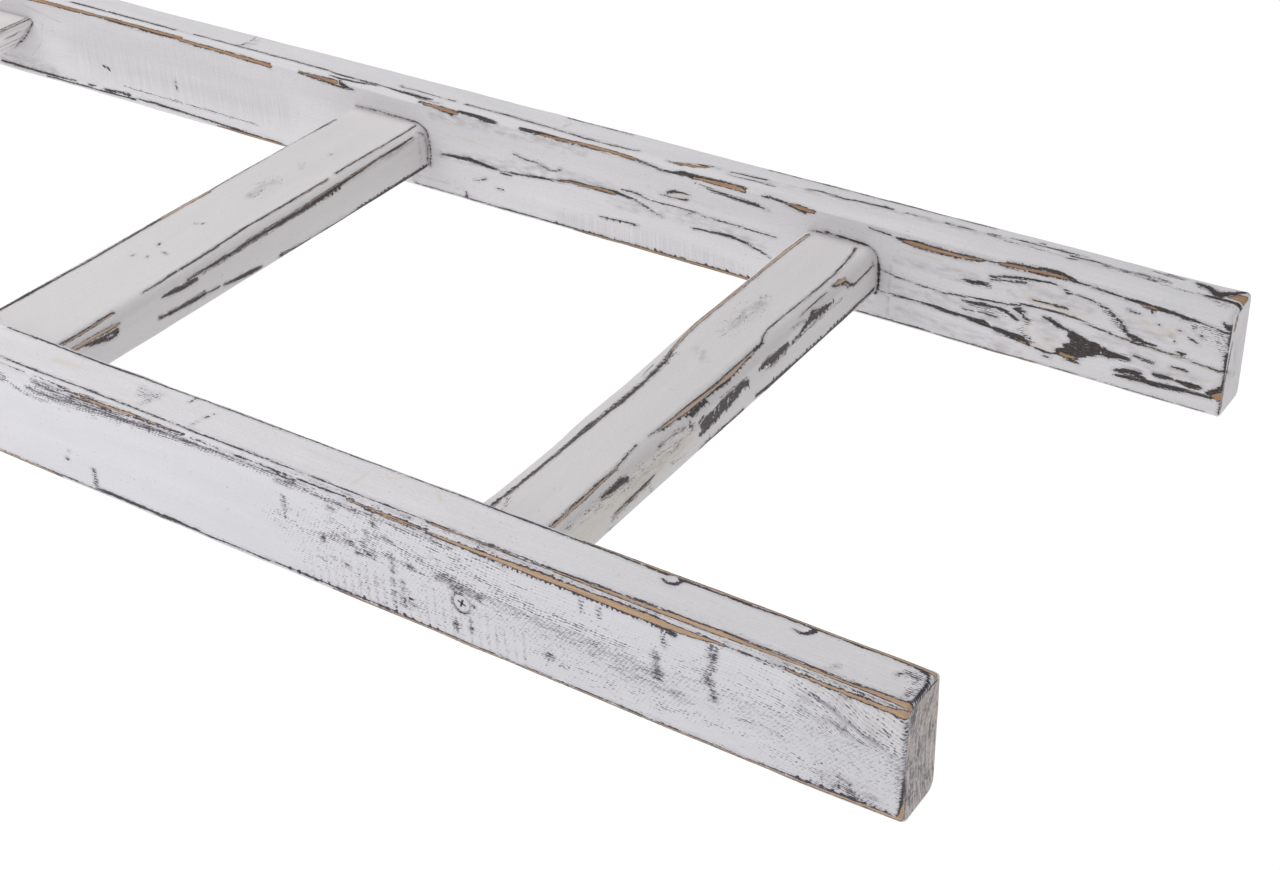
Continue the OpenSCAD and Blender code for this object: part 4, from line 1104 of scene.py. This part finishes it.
def end_grain_colour(tree):
    """Sawn ends, mottled grey and brown on growth rings round a heart beyond the left rail's inner face."""
    x, y, z = object_place(tree)
    from_heart = y - HEART_Y, z - HEART_Z
    rings = (from_heart[0] * from_heart[0] + from_heart[1] * from_heart[1] * RING_FLATNESS).maths("SQRT")
    sawn = noise(tree, rings * (1 / 1.2), z * (1 / 16), x * 0.1, 3.0)
    specks = noise(tree, y * (1 / 1.5), z * (1 / 2), x * 0.1 + 9, 4.0)
    patches = noise(tree, y * (1 / 9), z * (1 / 9), x * 0.1 + 5, 3.0)
    mixed = sawn * 0.4 + specks * 0.3 + patches * 0.3
    colour = colour_mix(tree, mixed.over(0.49, 0.15), END_DARK, END_LIGHT)
    return colour_mix(tree, patches.over(0.55, 0.2) * 0.35, colour, END_BROWN)


def painted_wood():
    """White paint over a charcoal undercoat over wood, worn through where the bars' attributes say."""
    material, tree, shader = new_material("painted_wood")
    grain = Grain(tree)
    charcoal, wood = worn_through(grain)
    flecks = grain.noise(3, 0.6, 47).over(0.68, 0.06) * 0.5
    cover = (charcoal * (flecks * -1 + 1)).maths("MAXIMUM", brush_dashes(grain) * 0.85)
    colour = colour_mix(tree, cover, paint_colour(grain), charcoal_colour(grain))
    colour = colour_mix(tree, wood, colour, wood_colour(grain))
    unworn = charcoal.maths("MAXIMUM", wood) * -1 + 1
    colour = colour_mix(tree, grain.end * unworn, colour, end_grain_colour(tree))
    relief = grain.brush * 0.12 + grain.crumbs * 0.2 + grain.tone * 0.3
    relief = relief - grain.weave * grain.dash * 0.12 - charcoal * 0.1 - wood * 0.12
    give_surface(tree, shader, colour, relief)
    join(tree, wood * 0.15 + 0.55 + grain.crumbs * 0.1, shader.inputs["Roughness"])
    shader.inputs["Specular IOR Level"].default_value = 0.35
    return material


def painted_screw():
    """Paint over a screw's head, darker with depth in its cross and round its rim: partly the undercoat
    showing, partly painted shade in the recess.
    """
    material, tree, shader = new_material("painted_screw")
    x, y, z = object_place(tree)
    speckle = noise(tree, x, y, z, 3.0)
    depth = y.maths("ABSOLUTE") * -1 + HEAD_TOP
    # Deeper places turn to charcoal: partly the undercoat, partly painted shade in the recess
    hollow_undercoat_and_shade = (depth + speckle * 0.5).over(0.7, 0.5)
    chips = speckle.over(0.66, 0.05) * 0.6
    paint = colour_mix(tree, speckle, PAINT_DARK, PAINT_LIGHT)
    colour = colour_mix(tree, (hollow_undercoat_and_shade * 0.75).maths("MAXIMUM", chips), paint, CHARCOAL_WORN)
    give_surface(tree, shader, colour, speckle * 0.3)
    shader.inputs["Roughness"].default_value = 0.5
    return material


def screw_spots(node, bar):
    """Where a node's screws sit on a rail, as (along, up)."""
    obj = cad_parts[node]
    points = np.array([obj.matrix_world @ v.co for v in obj.data.vertices]) / MM
    along = np.sort((points - bar.origin) @ bar.along)
    groups = np.split(along, np.nonzero(np.diff(along) > SCREWS_APART)[0] + 1)
    up = (points[:, 2].min() + points[:, 2].max()) / 2 - bar.origin[2]
    return [((group[0] + group[-1]) / 2, up) for group in groups]


def timber(node):
    """The CAD box of a node in millimetres."""
    return [np.array(corner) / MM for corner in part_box(node)]


def rail(node, near_y, across, corners, step, strokes, hidden_sides, seen_to, around, feet, end_strokes, seed,
         flows=(), sawn_shares=(1, 1)):
    """A dressed rail. Strokes are given for what the photograph shows, and drawn by chance elsewhere."""
    low, high = timber(node)
    length, width, height = high - low
    bar = Bar(node, (high[0], near_y, low[2]), (-1, 0, 0), across, 0, length, width, height)
    rng = np.random.default_rng(seed)
    wear = [stroke for side, given in strokes for stroke in strokes_on(bar, side, given)]
    wear += rubbed_edges(rng, [bar.side_starts[1], bar.side_starts[2]], seen_to, bar.end, 40)
    wear += rubbed_edges(rng, hidden_edges(bar, hidden_sides), bar.start, bar.end, 60)
    screws = screw_spots(node + "_screws", bar)
    wear += clear_of(screws, brushed_sides(rng, bar, range(4), seen_to, bar.end, 60))
    wear += clear_of(screws, brushed_sides(rng, bar, hidden_sides, bar.start, seen_to, 60))
    along = rail_ticks(bar, seen_to, [place for place, _ in screws], step)
    ticks = around(bar, screws[0][1])
    return dressed_bar(bar, node + "_wood", along, ticks, corners, wear, seed, screws, feet, end_strokes,
                       flows, sawn_shares)


def clear_of(screws, strokes):
    """Strokes drawn by chance that keep away from the screws, whose rings they would turn into odd signs."""
    return [(kind, points) for kind, points in strokes
            if all(math.dist(point[:2], spot) > SCREW_CLEAR for point in points for spot in screws)]


def hidden_edges(bar, hidden_sides):
    """The edges round a bar that touch no side the photograph shows."""
    return [bar.side_starts[side] for side in range(4)
            if side in hidden_sides and (side - 1) % 4 in hidden_sides]


def rail_ticks(bar, seen_to, places, step):
    """Ticks along a rail: close at its ends, its screws and joints, and where the photograph shows it."""
    stops = [(0, 0.4), (2.8, 0.9), (8, step)]
    for place in places:
        first, last = place - SCREW_REACH, place + SCREW_REACH
        stops.append((first, SCREW_PITCH))
        if place < seen_to:
            stops += [(first - JOINT_REACH, JOINT_PITCH), (last, JOINT_PITCH), (last + JOINT_REACH, step)]
        else:
            stops.append((last, PLAIN_STEP))
    stops += [(seen_to, PLAIN_STEP), (bar.end - 8, 0.9), (bar.end - 2.8, 0.4), (bar.end, 0)]
    return spread(sorted(stops))


def left_around(bar, screw_up):
    """Ticks round the left rail: close on the outer face and the front, closest along its front edges."""
    h, w, end = bar.height, bar.height + bar.width, bar.round
    first, last = screw_up - SCREW_REACH, screw_up + SCREW_REACH
    return spread([(0, 0.6), (8, 0.7), (first, SCREW_PITCH / 2), (last, 0.6), (56, 0.4), (h + 6, 0.8),
                   (w - 6, 0.45), (w + 3, 1.2), (w + 8, 6), (w + h - 8, 1.2), (w + h + 8, 4), (end - 8, 1),
                   (end, 0)])


def right_around(bar, screw_up):
    """Ticks round the right rail: close on the inner face and the front, wide on its outer face."""
    h, w, end = bar.height, bar.height + bar.width, bar.round
    first, last = screw_up - SCREW_REACH, screw_up + SCREW_REACH
    return spread([(0, 1.2), (8, 2.5), (first, SCREW_PITCH), (last, 5), (h - 6, 0.8), (h + 8, 0.9),
                   (w - 8, 0.7), (w, 0.45), (w + 10, 0.65), (w + h - 8, 0.5), (w + h, 0.9), (w + h + 6, 4),
                   (end - 8, 1.2), (end, 0)])


def rung(node, strokes, step, seed, hidden_sides):
    """A dressed rung between the rails, running a little way into them."""
    low, high = timber(node)
    width, _, height = high - low
    start, end = low[1] - OUTER_Y - RUNG_OVERLAP, high[1] - OUTER_Y + RUNG_OVERLAP
    bar = Bar(node, (high[0], OUTER_Y, low[2]), (0, 1, 0), (-1, 0, 0), start, end, width, height)
    rng = np.random.default_rng(seed)
    wear = [stroke for side, given in strokes for stroke in strokes_on(bar, side, given)]
    wear += rubbed_edges(rng, hidden_edges(bar, hidden_sides), bar.start, bar.end, 60)
    wear += brushed_sides(rng, bar, hidden_sides, bar.start, bar.end, 50)
    h, w, fine, plain = height, width, 0.5 * step, 0.9 * step
    around = spread([(0, fine), (h, fine), (h + 12, plain), (h + w - 6, fine), (h + w + 6, 3),
                     (2 * h + w - 5, 1), (2 * h + w + 5, 3), (bar.round - 5, 0.8), (bar.round, 0)])
    along = spread([(bar.start, 1.3 * step), (bar.end, 0)])
    return dressed_bar(bar, node + "_wood", along, around, RUNG_CORNERS[node], wear, seed)


def paint_screws(node):
    """Gives a node of packed screws its painted metal."""
    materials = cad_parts[node].data.materials
    materials.clear()
    materials.append(MATERIALS["painted_screw"])


# Planes across the ladder: the left rail's outer and inner faces, the right rail's outer face, and the one
# that the screws' heads reach
OUTER_Y, INNER_Y = (corner[1] for corner in timber("left_rail"))
FAR_Y = timber("right_rail")[1][1]
HEAD_TOP = timber("right_rail_screws")[1][1]
MATERIALS = {"painted_wood": painted_wood(), "painted_screw": painted_screw()}

rail("left_rail", OUTER_Y, (0, 1, 0), LEFT_CORNERS, 1.7, [(NEAR, LEFT_OUTER), (TOP, LEFT_TOP)], (FAR, UNDER),
     LEFT_SEEN_TO, left_around, (LEFT_FOOT, HEAD), (LEFT_END, ()), 1, LEFT_FLOWS)
# A bar is measured from its near side, which is the right rail's outer face
right_top = [(kind, [(a, INNER_Y - OUTER_Y - b, r) for a, b, r in points]) for kind, points in RIGHT_TOP]
rail("right_rail", FAR_Y, (0, -1, 0), RIGHT_CORNERS, 2.4, [(FAR, RIGHT_INNER), (TOP, right_top)],
     (UNDER, NEAR), RIGHT_SEEN_TO, right_around, (RIGHT_FOOT, HEAD), (RIGHT_END, ()), 2,
     sawn_shares=(0.1, 0.7))
rung("rung_1", [(NEAR, RUNG_1_FOOT), (TOP, RUNG_1_TOP)], 1, 3, (FAR, UNDER))
rung("rung_2", [(NEAR, RUNG_2_FOOT), (TOP, RUNG_2_TOP)], 1, 4, (FAR, UNDER))
rung("rung_3", [(TOP, RUNG_3_TOP)], 2, 5, (FAR, UNDER, NEAR))
rung("rung_4", [], 2, 6, (NEAR, TOP, FAR, UNDER))
paint_screws("left_rail_screws")
paint_screws("right_rail_screws")


# Half of the floor's side in metres, the grey and the glow that make it nearly white, and the sky's glow
FLOOR_HALF = 40.0
FLOOR_COLOUR = 0.08
FLOOR_GLOW = 0.965
SKY_GLOW = 0.3


def pale_floor():
    """A wide floor that glows like a photographer's sweep, with a faint shadow where it is touched."""
    half = FLOOR_HALF
    mesh = bpy.data.meshes.new("floor")
    corners = [(-half, -half, 0), (half, -half, 0), (half, half, 0), (-half, half, 0)]
    mesh.from_pydata(corners, [], [(0, 1, 2, 3)])
    floor = bpy.data.objects.new("floor", mesh)
    bpy.context.scene.collection.objects.link(floor)
    material, _, shader = new_material("floor_white")
    shader.inputs["Base Color"].default_value = (FLOOR_COLOUR, FLOOR_COLOUR, FLOOR_COLOUR, 1)
    shader.inputs["Roughness"].default_value = 0.9
    shader.inputs["Specular IOR Level"].default_value = 0
    shader.inputs["Emission Color"].default_value = (1, 1, 1, 1)
    shader.inputs["Emission Strength"].default_value = FLOOR_GLOW
    mesh.materials.append(material)


def soft_light(name, place, target, size, power):
    """A square light that faces its target. Places are in metres."""
    data = bpy.data.lights.new(name, "AREA")
    data.size, data.energy = size, power
    light = bpy.data.objects.new(name, data)
    light.location = place
    light.rotation_euler = (Vector(target) - Vector(place)).to_track_quat("-Z", "Y").to_euler()
    bpy.context.scene.collection.objects.link(light)


def white_sky():
    """Light from all round."""
    world = bpy.data.worlds.new("sky")
    world.use_nodes = True
    background = world.node_tree.nodes["Background"]
    background.inputs["Color"].default_value = (1, 1, 1, 1)
    background.inputs["Strength"].default_value = SKY_GLOW
    bpy.context.scene.world = world


def camera():
    """The camera, turned by its yaw, pitch and roll."""
    level = math.cos(CAMERA_PITCH)
    ahead = Vector((level * math.cos(CAMERA_YAW), level * math.sin(CAMERA_YAW), -math.sin(CAMERA_PITCH)))
    right = ahead.cross(Vector((0, 0, 1))).normalized()
    above = right.cross(ahead)
    side = right * math.cos(CAMERA_ROLL) + above * math.sin(CAMERA_ROLL)
    upright = above * math.cos(CAMERA_ROLL) - right * math.sin(CAMERA_ROLL)
    turned = Matrix((side, upright, -ahead)).transposed().to_4x4()
    data = bpy.data.cameras.new("camera")
    data.lens, data.sensor_width, data.clip_start = CAMERA_LENS, CAMERA_SENSOR, CAMERA_NEAR
    view = bpy.data.objects.new("camera", data)
    view.matrix_world = Matrix.Translation(CAMERA_PLACE) @ turned
    bpy.context.scene.collection.objects.link(view)
    bpy.context.scene.camera = view


pale_floor()
white_sky()
soft_light("key", (-0.15, -0.9, 0.7), (0.2, -0.1, 0), 1.0, 6.0)
soft_light("top", (-0.3, 0.4, 2.2), (0, 0, 0), 1.6, 25)
soft_light("fill", (2.2, 0.6, 1.0), (0.6, 0, 0), 1.0, 4)
camera()
bpy.context.scene.view_settings.view_transform = "Standard"
